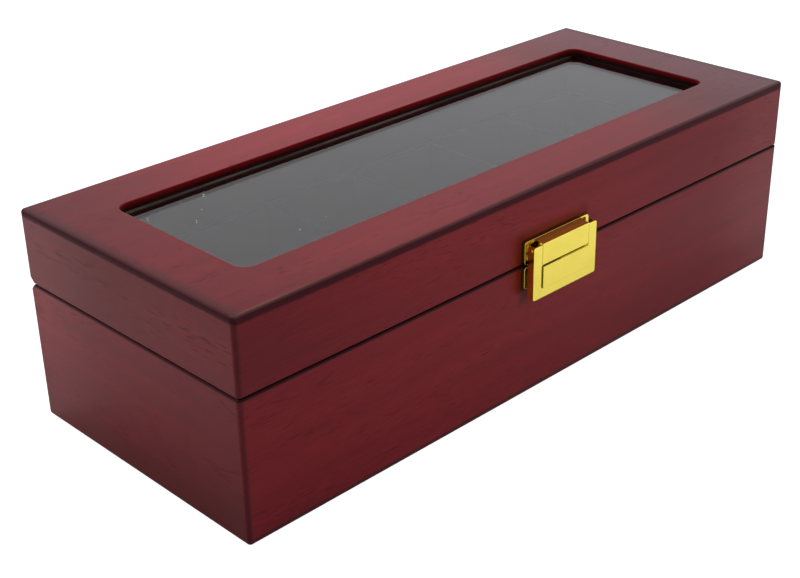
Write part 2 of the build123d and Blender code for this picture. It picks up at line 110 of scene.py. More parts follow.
class Number:
    """A number that a tree works out for every point, and that can be reckoned with like any other."""

    def __init__(self, graph: "Graph", socket: Socket) -> None:
        """Take the number that an output gives."""
        self.graph = graph
        self.socket = socket

    __add__ = __radd__ = worked("ADD")
    __sub__ = worked("SUBTRACT")
    __mul__ = __rmul__ = worked("MULTIPLY")
    __pow__ = worked("POWER")
    __abs__ = worked("ABSOLUTE")
    __gt__ = worked("GREATER_THAN")
    __lt__ = worked("LESS_THAN")

    def __rsub__(self, other: Value) -> "Number":
        """Another number less this one."""
        return self.graph.math("SUBTRACT", other, self)

    def within(self, low: float, high: float) -> "Number":
        """1 where it lies between two others."""
        return abs(self - (low + high) / 2) < (high - low) / 2

    def ramp(self, *ramp: float) -> "Number":
        """The number taken smoothly along a ramp and held at its ends."""
        inputs = dict(enumerate((self, *ramp)))
        return self.graph.number("ShaderNodeMapRange", inputs, interpolation_type="SMOOTHSTEP")

    def either(self, no: float, yes: float) -> "Number":
        """One number where this is 0, and another where it is 1."""
        return self.ramp(0.0, 1.0, no, yes)


def most(*values: Value) -> Number:
    """The greatest of several values, of which the first is worked out by nodes."""
    return reduce(lambda a, b: a.graph.math("MAXIMUM", a, b), values)


@dataclass(frozen=True)
class Pattern:
    """Noise with its cells stretched: cells to the millimetre along each axis, octaves and roughness."""

    cells: Triple
    detail: float = 2.0
    rough: float = 0.5


class Graph:
    """A node tree that is wired up in short steps."""

    def __init__(self, tree: bpy.types.NodeTree) -> None:
        """Start with an empty tree."""
        self.tree = tree
        tree.nodes.clear()

    def fill(self, node: bpy.types.Node, inputs: Inputs) -> None:
        """Link a node's sockets to outputs, or set their own values.

        Args:
            node: The node.
            inputs: What each socket gets, by the socket's name or number.
        """
        for label, value in inputs.items():
            socket = node.inputs[label]
            value = value.socket if isinstance(value, Number) else value
            if isinstance(value, Socket):
                self.tree.links.new(value, socket)
            else:
                socket.default_value = (*value, 1.0) if socket.type == "RGBA" else value

    def node(self, kind: str, inputs: Inputs | None = None, **settings: object) -> bpy.types.Node:
        """Add a node, set its properties and feed its sockets.

        Args:
            kind: The kind of node.
            inputs: What its sockets get.
            **settings: Its properties.

        Returns:
            The node.
        """
        made = self.tree.nodes.new(kind)
        for name, value in settings.items():
            setattr(made, name, value)
        self.fill(made, inputs or {})
        return made

    def number(self, kind: str, inputs: Inputs, output: str | int = 0, **settings: object) -> Number:
        """The number that a node gives."""
        return Number(self, self.node(kind, inputs, **settings).outputs[output])

    def show(self, shader: Socket, kind: str = "ShaderNodeOutputMaterial") -> None:
        """End the tree in a shader."""
        self.node(kind, {"Surface": shader})

    def math(self, operation: str, *values: Value, clamp: bool = False) -> Number:
        """The result of a Math node."""
        return self.number("ShaderNodeMath", dict(enumerate(values)), operation=operation, use_clamp=clamp)

    def vector(self, operation: str, *values: Value) -> Socket:
        """The vector that a Vector Math node gives."""
        made = self.node("ShaderNodeVectorMath", dict(enumerate(values)), operation=operation)
        return made.outputs["Vector"]

    def length(self, vector: Socket) -> Number:
        """The length of a vector."""
        return self.number("ShaderNodeVectorMath", {0: vector}, "Value", operation="LENGTH")

    def tinted(self, colour: Socket, by: Number) -> Socket:
        """A colour times a number, in each channel."""
        return self.node("ShaderNodeVectorMath", {0: colour, 3: by}, operation="SCALE").outputs["Vector"]

    def parts(self, vector: Socket) -> list[Number]:
        """The x, y and z of a vector."""
        return [Number(self, part) for part in self.node("ShaderNodeSeparateXYZ", {0: vector}).outputs]

    def joined(self, x: Value, y: Value, z: Value) -> Socket:
        """A vector made from three numbers."""
        return self.node("ShaderNodeCombineXYZ", {0: x, 1: y, 2: z}).outputs[0]

    def blend(self, share: Number, a: Value, b: Value) -> Socket:
        """A colour between a and b, by share."""
        return self.node("ShaderNodeMix", {0: share, 6: a, 7: b}, data_type="RGBA").outputs[2]

    def mixed(self, share: Value, a: Number, b: Number) -> Number:
        """A number between a and b, by share."""
        return self.number("ShaderNodeMix", {0: share, 2: a, 3: b}, data_type="FLOAT")

    def noise(self, place: Socket, pattern: Pattern) -> Number:
        """Noise between 0 and 1.

        Args:
            place: Where it is read, in millimetres.
            pattern: How it is stretched.

        Returns:
            The noise.
        """
        inputs = {"Scale": 1.0, "Detail": pattern.detail, "Roughness": pattern.rough}
        inputs["Vector"] = self.vector("MULTIPLY", place, pattern.cells)
        return self.number("ShaderNodeTexNoise", inputs)

    def rays(self, *kinds: str) -> Number:
        """1 for rays of the given kinds."""
        path = self.node("ShaderNodeLightPath").outputs
        return most(*[Number(self, path[f"Is {kind} Ray"]) for kind in kinds])

    def millimetres(self) -> Socket:
        """The place on the box, in millimetres."""
        coordinates = self.node("ShaderNodeTexCoord").outputs["Object"]
        return self.vector("MULTIPLY", coordinates, (PER_METRE,) * 3)

    def bump(self, height: Number, depth_mm: float, strength: float) -> Socket:
        """A normal bent by a height between 0 and 1."""
        inputs = {"Strength": strength, "Distance": depth_mm * MM, "Height": height}
        return self.node("ShaderNodeBump", inputs).outputs[0]


class Spot:
    """The point that is shaded: where it lies, in millimetres, and how far its surface faces each way."""

    def __init__(self, graph: Graph) -> None:
        """Read the point for a graph.

        Args:
            graph: The material's graph.
        """
        normal = graph.node("ShaderNodeTexCoord").outputs["Normal"]
        self.graph = graph
        self.x, self.y, self.z = graph.parts(graph.millimetres())
        self.to_end, self.to_front, self.to_top = graph.parts(graph.vector("ABSOLUTE", normal))
        self.on_lid = self.z > SEAM

    def faded(self, *fades: Fade) -> Number:
        """The product of some of its numbers, each taken along a ramp."""
        return math.prod(getattr(self, name).ramp(*ramp) for name, *ramp in fades)


def empty_material(name: str) -> tuple[Material, Graph]:
    """A new material and its empty graph.

    Args:
        name: What the finish is called.

    Returns:
        The material and its graph.
    """
    material = bpy.data.materials.new(name)
    material.use_nodes = True
    return material, Graph(material.node_tree)


def surface_material(name: str) -> tuple[Material, Graph, bpy.types.Node]:
    """A new material with one Principled surface.

    Args:
        name: What the finish is called.

    Returns:
        The material, its graph and the surface's node.
    """
    material, graph = empty_material(name)
    surface = graph.node("ShaderNodeBsdfPrincipled")
    graph.show(surface.outputs[0])
    return material, graph, surface


# ---- The wood's finish ----


class GrainRun(Enum):
    """The way the grain of a board runs."""

    ALONG_LENGTH = "length"
    ALONG_DEPTH = "depth"


@dataclass(frozen=True)
class StainAndPaintedLight:
    """How bright each face is painted: painted light and shade, brighter towards the back and darker low down
    and towards the near left corner, with a stain that is darker towards the ends.
    """

    top: Fades = (
        ("x", 60.0, 125.0, 1.0, 0.56),
        ("x", -HALF_LENGTH, -80.0, 0.74, 1.0),
        ("y", -HALF_DEPTH, HALF_DEPTH, 1.01, 1.38),
    )
    top_far_left: Fades = (("x", -150.0, -40.0, 1.0, 0.0), ("y", -40.0, 55.0, -0.04, 0.30))
    front: Fades = (("x", 30.0, 90.0, 1.0, 0.90), ("x", 110.0, 150.0, 1.0, 1.12), ("z", 0.0, 40.0, 0.87, 1.0))
    front_left: Fades = (("x", -HALF_LENGTH, -45.0, 1.0, 0.0), ("on_lid", 0.0, 1.0, 0.10, 0.30))
    end: Fades = (
        ("y", 20.0, 60.0, 1.0, 1.30),
        ("z", 0.0, 42.0, 0.60, 1.0),
        ("y", -HALF_DEPTH, -44.0, 0.94, 1.0),
    )
    end_back: Fades = (("y", -40.0, 20.0, 0.0, 1.0), ("on_lid", 0.0, 1.0, 0.13, -0.16))

    def at(self, spot: Spot) -> Number:
        """How bright the wood is painted at a point, painted light and shade with the stain, as a share of
        the plain stain.

        Args:
            spot: The point that is shaded.

        Returns:
            The share.
        """
        top = spot.faded(*self.top) * (1.0 - spot.faded(*self.top_far_left))
        front = spot.faded(*self.front) * (1.0 - spot.faded(*self.front_left))
        end = spot.faded(*self.end) * (1.0 + spot.faded(*self.end_back))
        return 1.0 + (top - 1.0) * spot.to_top + (front - 1.0) * spot.to_front + (end - 1.0) * spot.to_end


@dataclass(frozen=True)
class Lacquer:
    """How much lacquer lies on the wood: most on the lid, less down the sides, and none in the window."""

    coat: float = 0.8
    ior: float = 1.25
    roughness: float = 0.19
    top: Fades = (("x", 60.0, 150.0, 1.06, 1.52), ("y", -20.0, 60.0, 0.0, 0.05))
    front: Fade = ("x", 100.0, 155.0, 0.64, 1.0)
    front_low: Fades = (("x", -80.0, 60.0, 0.0, 0.16), ("z", 40.0, 70.0, 1.0, 0.0))
    end: Fades = (("z", 5.0, 80.0, 0.46, 0.80), ("y", 0.0, 58.0, 0.0, 0.32))

    def at(self, spot: Spot, sawn: Number) -> Number:
        """The share of lacquer at a point.

        Args:
            spot: The point that is shaded.
            sawn: 1 on the window's sawn wall.

        Returns:
            The share.
        """
        top, end = [sum(spot.faded(fade) for fade in face) for face in (self.top, self.end)]
        front = spot.faded(self.front) + spot.faded(*self.front_low)
        faces = ((end, spot.to_end), (front, spot.to_front), (top, spot.to_top))
        amount = sum(level * facing**2.0 for level, facing in faces)
        return spot.graph.math("MULTIPLY", self.coat - sawn * self.coat, amount, clamp=True)


@dataclass(frozen=True)
class WindowWall:
    """The window's sawn wall, coloured darker as painted shade inside the opening and not lacquered, and
    painted highlights along the window's near edges and the lid's front rim.
    """

    # painted shade: the wall inside the opening is coloured much darker than the wood
    sawn: Colour = (0.082, 0.0012, 0.0020)
    # near-black towards the foot of the wall, beside the glass
    wall_foot: Colour = (0.012, 0.0018, 0.0018)
    # painted highlight along the window's near edges and the lid's front rim
    lip_highlight: Colour = (0.200, 0.1200, 0.1120)
    x: Span = (-134.6, 135.2)
    y: Span = (-38.6, 39.2)
    upright: Fade = ("to_top", 0.93, 0.998, 1.0, 0.0)
    wall_foot_below: Fade = ("z", 88.2, 89.6, 1.0, 0.0)  # near-black towards the foot of the wall, beside the glass
    opening: Span = (134.4, 38.4)  # half its length and half its depth
    corner: float = 5.0
    lip_out: float = 0.50
    lip_deep: float = 0.7
    lip_width: Ramp = (0.18, 0.38, 1.0, 0.0)
    lip_left: Fade = ("y", -40.0, 20.0, 0.85, 0.10)
    lip_front: Fade = ("x", -134.0, -85.0, 0.7, 0.0)
    arris_deep: float = 2.0
    # where the painted highlight lies on the lid's front rim, towards the left end
    arris_highlight: Fades = (
        ("to_top", 0.45, 0.80, 0.0, 1.0),
        ("to_top", 0.985, 0.999, 1.0, 0.0),
        ("x", -150.0, -105.0, 0.38, 0.15),
    )

    def sawn_share(self, spot: Spot) -> Number:
        """1 on the sawn wall."""
        return spot.faded(self.upright) * spot.x.within(*self.x) * spot.y.within(*self.y)

    def window_shade_and_highlights(self, spot: Spot, wood: Socket, sawn: Number) -> Socket:
        """The wood's colour with painted shade on the window's wall and painted highlights on the arrises.

        Args:
            spot: The point that is shaded.
            wood: The wood's colour elsewhere.
            sawn: 1 on the window's sawn wall.

        Returns:
            The colour.
        """
        graph = spot.graph
        # painted shade on the window's wall, near-black towards its foot
        wood = graph.blend(sawn, wood, graph.blend(spot.faded(self.wall_foot_below), self.sawn, self.wall_foot))
        # worn: where the painted highlight runs along the window's near left and front edges
        past, worn = [], []
        for place, half, fade in zip((spot.x, spot.y), self.opening, (self.lip_left, self.lip_front)):
            past.append(most(abs(place) - (half - self.corner), 0.0))
            worn.append((place < self.corner - half) * spot.faded(fade))
        off = abs(graph.length(graph.joined(*past, 0.0)) - (self.corner + self.lip_out))
        lip_highlight = most(*worn) * off.ramp(*self.lip_width) * (spot.z > LID_TOP - self.lip_deep)
        arris_highlight = spot.faded(*self.arris_highlight) * (spot.y < self.arris_deep - HALF_DEPTH)
        return graph.blend(most(lip_highlight, arris_highlight), wood, self.lip_highlight)


@dataclass(frozen=True)
class LatchShade:
    """Painted shade and dark reflection round the latch's plates, to their left and above, with a painted
    contact shadow right against them.
    """

    # painted shade and dark reflection on the wood beside the plates
    colour: Colour = (0.085, 0.0110, 0.0015)
    share: float = 0.55
    dulls: float = 0.7
    across: Span = (-19.35, 19.35)
    down: Span = (-69.95, -49.65)
    quicker: float = 3.0  # it ends so much sooner to the right and below
    front: float = 1.0 - HALF_DEPTH
    reach: Ramp = (0.0, 6.5, 1.0, 0.0)
    # the painted contact shadow just outside the plates
    line: Ramp = (0.2, 0.9, 0.70, 0.0)

    def around(self, spot: Spot) -> list[Number]:
        """How much painted shade lies at a point, and how dark the painted contact shadow against the plates
        is there.

        Args:
            spot: The point that is shaded.

        Returns:
            The painted shade and the painted contact shadow.
        """
        beyond = []
        for place, (near, far) in ((spot.x, self.across), (spot.z * -1.0, self.down)):
            beyond.append(most(near - place, (place - far) * self.quicker, 0.0))
        away = spot.graph.length(spot.graph.joined(*beyond, 0.0))
        return [(spot.y < self.front) * away.ramp(*ramp) for ramp in (self.reach, self.line)]


@dataclass(frozen=True)
class EdgeMarks:
    """How dark an edge is, how dull, where a painted highlight lies on the rim's rounding, and where the
    painted shade of the seam's gap lies.
    """

    dark: Number
    dull: Number
    rim_highlight: Number
    gap: Number


@dataclass(frozen=True)
class DarkEdges:
    """The dark edges: the lid's rim, the upright corners and the foot, and the painted shade along the seam.
    """

    wander: Pattern = Pattern((0.05, 0.3, 0.3))
    wander_by: Ramp = (0.3, 0.7, -0.12, 0.12)
    end_line: float = 2.0  # a dark line on the top beside each end
    end_line_width: Ramp = (0.10, 0.55, 0.85, 0.0)
    end_top: Ramp = (1.4, 6.4, 0.60, 0.0)
    end_side: Ramp = (2.1, 3.6, 0.93, 0.0)
    end_turn: Fade = ("to_top", 0.30, 0.95, 0.0, 1.0)
    front_top: Ramp = (0.95, 1.75, 0.88, 0.0)
    front_top_shift: Fade = ("x", -150.0, 60.0, 0.75, -0.15)
    front_side: Ramp = (2.8, 4.0, 0.90, 0.0)
    front_turn: Fade = ("to_top", 0.60, 0.95, 0.0, 1.0)
    corner: Ramp = (1.3, 2.6, 0.52, 0.0)
    corner_face: Fade = ("to_front", 0.45, 0.85, 0.0, 1.0)
    foot: Ramp = (1.8, 3.2, 0.80, 0.0)
    foot_face: Fade = ("to_front", 0.2, 0.8, 0.15, 1.0)
    # painted shade along the seam between the halves, outside and inside the walls
    seam: Span = (SEAM - 0.5, SEAM - 0.75)  # its middle on the long sides and at the ends
    seam_share: Span = (1.0, 0.86)
    seam_tighter: float = 0.25  # at the ends
    seam_inward: Ramp = (1.5, 4.0, 1.0, 0.0)
    seam_outer: Ramp = (0.50, 1.10, 0.97, 0.0)
    seam_inner: Ramp = (2.4, 3.4, 0.97, 0.0)
    seam_inside: Ramp = (WALL - 2.8, WALL - 2.0, 0.0, 1.0)
    seam_dulls: float = 0.9
    gap: Ramp = (0.20, 0.55, 0.8, 0.0)
    gap_shade_inside: float = 0.9
    rim_dulls: Fade = ("to_top", 0.40, 0.90, 1.0, 0.0)
    # the painted highlight on the rim's rounding, on the lid only
    rim_highlight_above: float = SEAM + 9.0
    rim_highlight: Fades = (
        ("to_top", 0.20, 0.50, 0.0, 0.8),
        ("to_top", 0.90, 0.99, 1.0, 0.0),
        ("to_end", 0.1, 0.4, 1.0, 0.08),
        ("x", -60.0, 80.0, 1.0, 0.6),
    )

    def rim(self, spot: Spot, from_end: Number, from_front: Number) -> Number:
        """How dark the lid's rim is.

        Args:
            spot: The point that is shaded.
            from_end: How far in and down it lies from the end.
            from_front: The same from the long side.

        Returns:
            How dark it is.
        """
        line = abs(from_end - self.end_line).ramp(*self.end_line_width)
        end_top = most(from_end.ramp(*self.end_top), line)
        front_top = (from_front + spot.faded(self.front_top_shift)).ramp(*self.front_top)
        end = spot.graph.mixed(spot.faded(self.end_turn), from_end.ramp(*self.end_side), end_top)
        front = spot.graph.mixed(spot.faded(self.front_turn), from_front.ramp(*self.front_side), front_top)
        return most(end, front)

    def along_seam(self, spot: Spot, inward: Number, at_end: Number) -> tuple[Number, Number]:
        """How dark the painted shade along the seam's edges is, and where the painted shade of its gap lies.

        Args:
            spot: The point that is shaded.
            inward: How far in from the nearest side it lies.
            at_end: 1 where that side is an end.

        Returns:
            The painted shade at the edges and in the gap.
        """
        off = abs(spot.z - at_end.either(*self.seam))
        outside = inward.ramp(*self.seam_inward) * at_end.either(*self.seam_share)
        outer = (off + at_end * self.seam_tighter).ramp(*self.seam_outer) * outside
        inner = off.ramp(*self.seam_inner) * inward.ramp(*self.seam_inside)
        return most(outer, inner), most(off.ramp(*self.gap) * outside**4.0, inner * self.gap_shade_inside)

    def marks(self, spot: Spot, place: Socket) -> EdgeMarks:
        """What the edges show at a point.

        Args:
            spot: The point that is shaded.
            place: Millimetres along the grain.

        Returns:
            The marks.
        """
        wander = spot.graph.noise(place, self.wander).ramp(*self.wander_by)
        down = LID_TOP - spot.z + wander
        in_x, in_y = HALF_LENGTH - abs(spot.x), HALF_DEPTH - abs(spot.y)
        inward = spot.graph.math("MINIMUM", in_x, in_y)
        rim = self.rim(spot, down + in_x, down + in_y)
        corner = (in_x + in_y + wander).ramp(*self.corner) * spot.faded(self.corner_face)
        foot = (spot.z - FOOT + inward + wander).ramp(*self.foot) * spot.faded(self.foot_face)
        # painted shade along the seam and in its gap
        seam, gap = self.along_seam(spot, inward, in_x < in_y)
        dull = most(rim * spot.faded(self.rim_dulls), seam * self.seam_dulls)
        # painted highlight on the rim's rounding
        rim_highlight = spot.faded(*self.rim_highlight) * (spot.z > self.rim_highlight_above)
        return EdgeMarks(most(seam, rim, corner, foot), dull, rim_highlight, gap)


@dataclass(frozen=True)
class CherryLacquer:
    """Red cherry stain with open pores under a satin lacquer, darker along the outer edges, with painted
    light, shade, highlights and reflections in places.
    """

    pale: Colour = (0.202, 0.0110, 0.0175)
    deep: Colour = (0.131, 0.0058, 0.0098)
    pore: Colour = (0.050, 0.0022, 0.0030)
    # the darker edges; along the seam this is painted shade
    edge: Colour = (0.031, 0.0050, 0.0084)
    # painted highlight on the rounded rim of the lid
    rim_highlight: Colour = (0.054, 0.0260, 0.0270)
    # painted reflection: a greyish cast on the top towards the right end
    top_reflection: Colour = (0.140, 0.0900, 0.1350)
    # painted shade: near-black in the seam's gap and in the contact shadow against the latch's plates
    gap: Colour = (0.008, 0.0006, 0.0004)
    # painted light and shade across each face, with the uneven stain
    stain: StainAndPaintedLight = StainAndPaintedLight()
    lacquer: Lacquer = Lacquer()
    window: WindowWall = WindowWall()
    # painted shade round the latch's plates
    latch: LatchShade = LatchShade()
    edges: DarkEdges = DarkEdges()
    end_face: float = 0.7
    cross_shift: float = 400.0  # keeps the grain of the end boards apart from that of the long ones
    drift: Pattern = Pattern((0.008, 0.018, 0.018))
    drift_by: Ramp = (0.2, 0.8, -2.5, 2.5)
    bands: Pattern = Pattern((0.006, 0.11, 0.11))
    fibres: Pattern = Pattern((0.09, 1.9, 1.9), 3.0, 0.6)
    fibre_share: float = 0.55
    tone: Ramp = (0.27, 0.73, 0.0, 1.0)
    top_reflection_right: Fade = ("x", 110.0, 150.0, 0.0, 0.16)
    top_reflection_face: float = 0.9
    pore_cells: Triple = (0.080, 1.8, 1.8)
    pore_rows: Pattern = Pattern((0.010, 0.11, 0.11))
    pore_size: Ramp = (0.38, 0.62, 0.08, 0.27)
    pore_end_gain: float = 0.05
    pore_edge: float = 12.0
    pore_share: float = 0.75
    pore_dulls: float = 0.6
    pore_relief: float = 0.75
    fibre_relief: float = 0.12
    relief_mm: float = 0.06
    relief_strength: float = 0.5
    roughness: Ramp = (0.2, 0.8, 0.40, 0.52)
    specular: float = 0.05

    def grain_place(self, spot: Spot, run: GrainRun, end_face: Number) -> Socket:
        """Millimetres with the first axis along the grain, which wavers a little.

        Args:
            spot: The point that is shaded.
            run: The way the board's grain runs.
            end_face: 1 on the faces at the ends of the box, which are always grained front to back.

        Returns:
            The turned place.
        """
        graph = spot.graph
        place = graph.joined(spot.y, spot.x + self.cross_shift, spot.z)
        if run is GrainRun.ALONG_LENGTH:
            place = graph.blend(end_face, graph.joined(spot.x, spot.y, spot.z), place)
        drift = graph.noise(place, self.drift).ramp(*self.drift_by)
        return graph.vector("ADD", place, graph.joined(0.0, drift, drift))

    def pore_mask(self, graph: Graph, place: Socket, end_face: Number) -> Number:
        """Short open pores along the grain, in loose rows, and longer on the end faces.

        Args:
            graph: The material's graph.
            place: Millimetres along the grain.
            end_face: 1 on the faces at the ends of the box.

        Returns:
            1 in the pores.
        """
        inputs = {"Vector": graph.vector("MULTIPLY", place, self.pore_cells), "Scale": 1.0}
        away = graph.number("ShaderNodeTexVoronoi", inputs, "Distance", feature="F1")
        size = graph.noise(place, self.pore_rows).ramp(*self.pore_size) + end_face * self.pore_end_gain
        return graph.math("MULTIPLY", size - away, self.pore_edge, clamp=True)

    def material(self, run: GrainRun) -> Material:
        """The finish for boards whose grain runs one way.

        Args:
            run: The way the grain runs.

        Returns:
            The finish.
        """
        material, graph, surface = surface_material(f"cherry_lacquer_{run.value}")
        spot = Spot(graph)
        end_face = spot.to_end > self.end_face
        place = self.grain_place(spot, run, end_face)
        fibres = graph.noise(place, self.fibres)
        pores = self.pore_mask(graph, place, end_face)
        sawn = self.window.sawn_share(spot)
        latch_shade, line = self.latch.around(spot)
        marks = self.edges.marks(spot, place)
        tone = graph.mixed(self.fibre_share, graph.noise(place, self.bands), fibres)
        wood = graph.blend(tone.ramp(*self.tone), self.deep, self.pale)
        # painted light and shade across each face, with the uneven stain
        wood = graph.tinted(wood, self.stain.at(spot))
        # painted reflection on the top towards the right end
        wood = graph.blend(spot.faded(self.top_reflection_right) * (spot.to_top > self.top_reflection_face), wood, self.top_reflection)
        wood = graph.blend(pores * self.pore_share, wood, self.pore)
        # painted shade on the window's wall and painted highlights on the arrises
        wood = self.window.window_shade_and_highlights(spot, wood, sawn)
        # painted shade and dark reflection round the latch
        wood = graph.blend(latch_shade * self.latch.share, wood, self.latch.colour)
        # darker along the edges, with a painted highlight where the lid's rim rounds over
        wood = graph.blend(marks.dark, wood, graph.blend(marks.rim_highlight, self.edge, self.rim_highlight))
        # painted shade in the seam's gap and painted contact shadow against the latch's plates
        wood = graph.blend(most(marks.gap, line), wood, self.gap)
        dull = most(marks.dull, pores * self.pore_dulls, latch_shade * self.latch.dulls)
        relief = fibres * self.fibre_relief - pores * self.pore_relief
        graph.fill(surface, {
            "Base Color": wood,
            "Roughness": fibres.ramp(*self.roughness),
            "Normal": graph.bump(relief, self.relief_mm, self.relief_strength),
            "Specular IOR Level": self.specular,
            "Coat Weight": self.lacquer.at(spot, sawn) * (1.0 - dull),
            "Coat IOR": self.lacquer.ior,
            "Coat Roughness": self.lacquer.roughness,
        })
        return material


# ---- The other finishes ----


@dataclass(frozen=True)
class DarkBead:
    """The glazing bead's wood, nearly black, with a painted brown highlight along its upper edge and a paler
    one on its top.
    """

    stain: Colour = (0.0045, 0.0034, 0.0030)
    # painted highlight: brown along the bead's upper edge
    worn: Colour = (0.120, 0.087, 0.070)
    # painted highlight on the bead's top, paler
    top_highlight: Colour = (0.420, 0.320, 0.270)
    highlight_up: Ramp = (83.8, 84.6, 0.0, 1.0)
    highlight_ends: Ramp = (133.6, 134.3, 1.0, 0.15)
    patches: Pattern = Pattern((0.03, 0.03, 0.6), 3.0)
    patches_by: Ramp = (0.35, 0.60, 0.45, 1.0)
    top_highlight_from: float = 84.65
    top_highlight_right: Ramp = (40.0, 134.0, 1.0, 0.35)
    roughness: float = 0.55
    specular: float = 0.1

    def material(self) -> Material:
        """The bead's finish.

        Returns:
            The finish.
        """
        material, graph, surface = surface_material("dark_bead")
        place = graph.millimetres()
        x, _, z = graph.parts(place)
        # worn: where the painted highlight runs along the upper edge, in patches
        worn = z.ramp(*self.highlight_up) * abs(x).ramp(*self.highlight_ends)
        worn *= graph.noise(place, self.patches).ramp(*self.patches_by)
        bead_highlight = graph.blend((z > self.top_highlight_from) * x.ramp(*self.top_highlight_right), self.worn, self.top_highlight)
        graph.fill(surface, {
            "Base Color": graph.blend(worn, self.stain, bead_highlight),
            "Roughness": self.roughness,
            "Specular IOR Level": self.specular,
        })
        return material


@dataclass(frozen=True)
class Crease:
    """A strip of the latch painted darker as the shade in a crease, as millimetres along each axis, and how
    dark it is.
    """

    x: Span
    z: Span
    dark: float
    y: Span = (-72.0, -69.8)  # the front of the flap and the block


@dataclass(frozen=True)
class Metal:
    """A metal with fine polishing lines along the box and a little tarnish."""

    name: str
    bright: Colour
    dull: Colour
    roughness: Span  # where it is smooth and where it is worn
    creases: tuple[Crease, ...] = ()
    # painted shade for the latch's creases
    crease_shade: Colour = (0.060, 0.042, 0.006)
    lines: Pattern = Pattern((0.25, 6.0, 6.0))
    cloud: Pattern = Pattern((0.12, 0.12, 0.12), 3.0)
    cloud_share: float = 0.5
    tarnish: Ramp = (0.35, 0.75, 0.0, 1.0)
    wear: Span = (0.3, 0.7)
    relief_mm: float = 0.004
    relief_strength: float = 0.4

    def crease_shade_at(self, graph: Graph, place: Socket) -> Number:
        """How much painted shade lies in the creases.

        Args:
            graph: The material's graph.
            place: Millimetres on the box.

        Returns:
            How dark it is.
        """
        x, y, z = graph.parts(place)
        strips = [x.within(*c.x) * y.within(*c.y) * z.within(*c.z) * c.dark for c in self.creases]
        return most(*strips)

    def material(self) -> Material:
        """The metal as a material.

        Returns:
            The finish.
        """
        material, graph, surface = surface_material(self.name)
        place = graph.millimetres()
        lines, cloud = graph.noise(place, self.lines), graph.noise(place, self.cloud)
        colour = graph.blend(cloud.ramp(*self.tarnish), self.bright, self.dull)
        if self.creases:
            # painted shade in the creases and along the top and left of the plates
            colour = graph.blend(self.crease_shade_at(graph, place), colour, self.crease_shade)
        worn = graph.mixed(self.cloud_share, lines, cloud)
        graph.fill(surface, {
            "Base Color": colour,
            "Metallic": 1.0,
            "Roughness": worn.ramp(*self.wear, *self.roughness),
            "Normal": graph.bump(lines, self.relief_mm, self.relief_strength),
        })
        return material


@dataclass(frozen=True)
class Pile:
    """A cloth with a short dense pile, such as velvet or felt, brushed this way and that."""

    name: str
    ground: Colour
    brushed: Colour
    tuft: float  # tufts to the millimetre
    depth_mm: float
    sheen: float
    sheen_roughness: float
    sheen_tint: Colour = (0.6, 0.6, 0.6)
    nap: Pattern = Pattern((0.07, 0.09, 0.08), 3.0, 0.6)
    lean: float = 0.6  # tufts lie over front to back, so fewer go to the millimetre that way
    tuft_share: float = 0.45
    tone: Ramp = (0.35, 0.65, 0.0, 1.0)
    roughness: Ramp = (0.3, 0.7, 0.80, 0.96)
    relief_strength: float = 0.6
    specular: float = 0.05

    def material(self) -> Material:
        """The cloth as a material.

        Returns:
            The finish.
        """
        material, graph, surface = surface_material(self.name)
        place = graph.millimetres()
        tufts = graph.noise(place, Pattern((self.tuft, self.tuft * self.lean, self.tuft), 3.0, 0.7))
        pile = graph.mixed(self.tuft_share, graph.noise(place, self.nap), tufts)
        graph.fill(surface, {
            "Base Color": graph.blend(pile.ramp(*self.tone), self.ground, self.brushed),
            "Roughness": pile.ramp(*self.roughness),
            "Normal": graph.bump(pile, self.depth_mm, self.relief_strength),
            "Specular IOR Level": self.specular,
            "Sheen Weight": self.sheen,
            "Sheen Roughness": self.sheen_roughness,
            "Sheen Tint": self.sheen_tint,
        })
        return material


